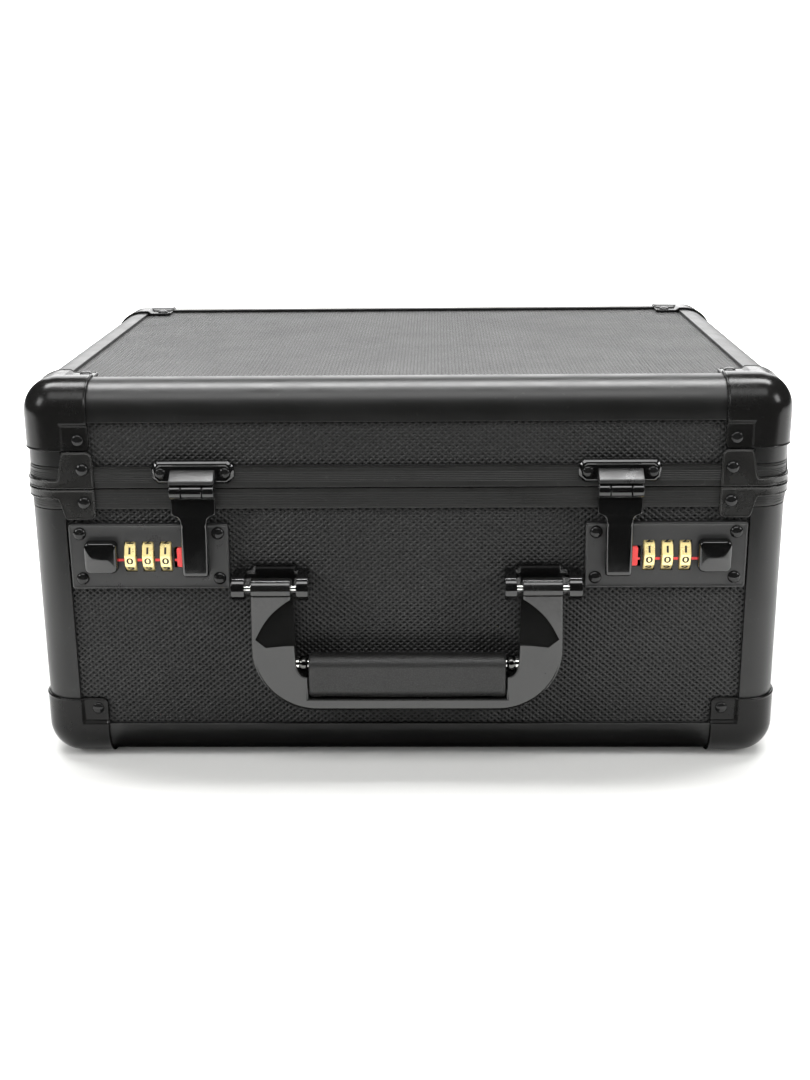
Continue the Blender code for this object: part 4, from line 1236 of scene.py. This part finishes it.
def foam_lid_pad():
    """An egg-crate pad: rows of soft peaks that face down."""
    low, high = span("foam_lid_pad")
    pitch, peak, step, border, rim, r = 30.0, 11.0, 3.0, 7.0, 3.0, 8.0
    columns = round((high.x - low.x) / step)
    rows = round((high.y - low.y) / step)
    top, bottom = [], []
    for i in range(columns + 1):
        x = low.x + (high.x - low.x) * i / columns
        top.append([])
        bottom.append([])
        for j in range(rows + 1):
            y = low.y + (high.y - low.y) * j / rows
            edge = min(x - low.x, high.x - x, y - low.y, high.y - y)
            wave = math.sin(math.pi * 2 * x / pitch) * math.sin(math.pi * 2 * y / pitch)
            inside = smoothstep(edge / border)
            half_y = (high.y - low.y) / 2
            corner = Vector((max(0, abs(x) - high.x + r), max(0, abs(y - CENTRE_Y) - half_y + r)))
            pull = 1 - r / max(r, corner.length)
            spot = (x - math.copysign(corner.x * pull, x), y - math.copysign(corner.y * pull, y - CENTRE_Y))
            height = peak * (0.5 + 0.5 * wave) * inside + rim * (1 - inside)
            bottom[-1].append(level(spot, low.z + height))
            top[-1].append(level(spot, high.z))
    shape = Shape()
    shape.sheets(bottom, top, ("u0", "u1", "v0", "v1"))
    pad = solid("foam_lid_soft", shape, [FOAM])
    dress(pad, "lid", ["foam_lid_pad"], 50)


# ---------------------------------------------------------------- camera, stage and light

def camera():
    """The photograph's view: in front of the case, a little above it and to the right."""
    place = Vector((13.98, -749.93, 307.15))
    pitch, yaw, roll = (math.radians(angle) for angle in (17.268, 1.336, 0.591))
    turn_z = Matrix.Rotation(-yaw, 3, "Z")
    level_rows = Matrix((
        (1, 0, 0), (0, -math.sin(pitch), -math.cos(pitch)), (0, math.cos(pitch), -math.sin(pitch)),
    ))
    turn_view = Matrix.Rotation(-roll, 3, "Z")
    rows = turn_view @ level_rows @ turn_z
    columns = Matrix((rows[0], -rows[1], -rows[2])).transposed()
    data = bpy.data.cameras.new("view")
    data.lens, data.sensor_width = 47.69, 36.0
    view = bpy.data.objects.new("view", data)
    bpy.context.scene.collection.objects.link(view)
    view.matrix_world = Matrix.Translation(place * MM) @ columns.to_4x4()
    bpy.context.scene.camera = view


def stage():
    """A white floor and a white wall round it. A dark card in front keeps the room out of reflections, and a
    black sheet on the floor round the case is painted shadow that only reflections show.
    """
    finish = stage_finish()
    reach, rise, r, thick, sides = 3200.0, 3500.0, 900.0, 40.0, 96
    up, outside = (0, 0, 1), reach + r + thick
    floor, wall = Shape(), Shape()
    floor.turned([(reach, -thick), (reach, 0.0)], (0, 0, 0), up, 0, sides)
    line = [(reach - 1, 0.0), *arc((reach, r), r, 270, 360, 14), (reach + r, rise), (outside, rise)]
    wall.turned(line + [(outside, -thick), (reach - 1, -thick)], (0, 0, 0), up, 0, sides, True)
    card = box_shape((-1500, -425, -30), (1500, -420, 320))
    # A black sheet on the floor round the case: painted shadow, which the lower rails reflect as shade near
    # the case.
    card.merge(box_shape((-HALF_X + 30, FRONT - 45, 0.2), (HALF_X - 30, BACK + 45, 0.4)))
    black, tree, shader = node_tree("black_card")
    feed(tree, shader, {"Base Color": (0, 0, 0, 1), "Specular IOR Level": 0.0})
    floor = solid("stage_floor", floor, [finish])
    wall = solid("stage_wall", wall, [finish])
    card = solid("stage_card", card, [black])
    wall.data.shade_smooth()
    wall.visible_glossy = False
    card.visible_camera = card.visible_diffuse = card.visible_shadow = card.visible_transmission = False


def softbox(name, place, target, size, power):
    data = bpy.data.lights.new(name, "AREA")
    data.shape = "RECTANGLE"
    data.size, data.size_y = size
    data.energy = power
    light = bpy.data.objects.new(name, data)
    light.location = place
    light.rotation_euler = (Vector(target) - Vector(place)).to_track_quat("-Z", "Y").to_euler()
    bpy.context.scene.collection.objects.link(light)


def lights():
    """Five softboxes, each with its place, target and size in metres and its power in watts."""
    softbox("key_top", (0.0, 0.22, 1.5), (0, -0.05, 0.15), (1.9, 0.4), 56)
    softbox("front_top", (0.0, -0.75, 1.3), (0, -0.1, 0.1), (1.4, 0.5), 10)
    softbox("back_fill", (0.0, 2.6, 1.2), (0, 0, 0.2), (3.0, 1.6), 46)
    softbox("left_fill", (-1.6, -0.9, 1.1), (0, 0, 0.1), (0.5, 0.6), 11)
    softbox("right_fill", (1.7, -0.8, 1.0), (0, 0, 0.1), (0.5, 0.6), 11)
    world = bpy.data.worlds.new("room")
    bpy.context.scene.world = world
    world.use_nodes = True
    feed(world.node_tree, world.node_tree.nodes["Background"], {"Color": (1, 1, 1, 1), "Strength": 0.04})
    bpy.context.scene.view_settings.view_transform = "Standard"


panels()
rails()
meeting_rails()
corner_hardware()
latches()
handle()
for name, side in SIDES:
    handle_bracket(name, side)
    hinge_leaf("lid", name, 1)
    hinge_leaf("base", name, -1)
foam_base_pad()
foam_cutouts()
foam_lid_pad()
camera()
stage()
lights()
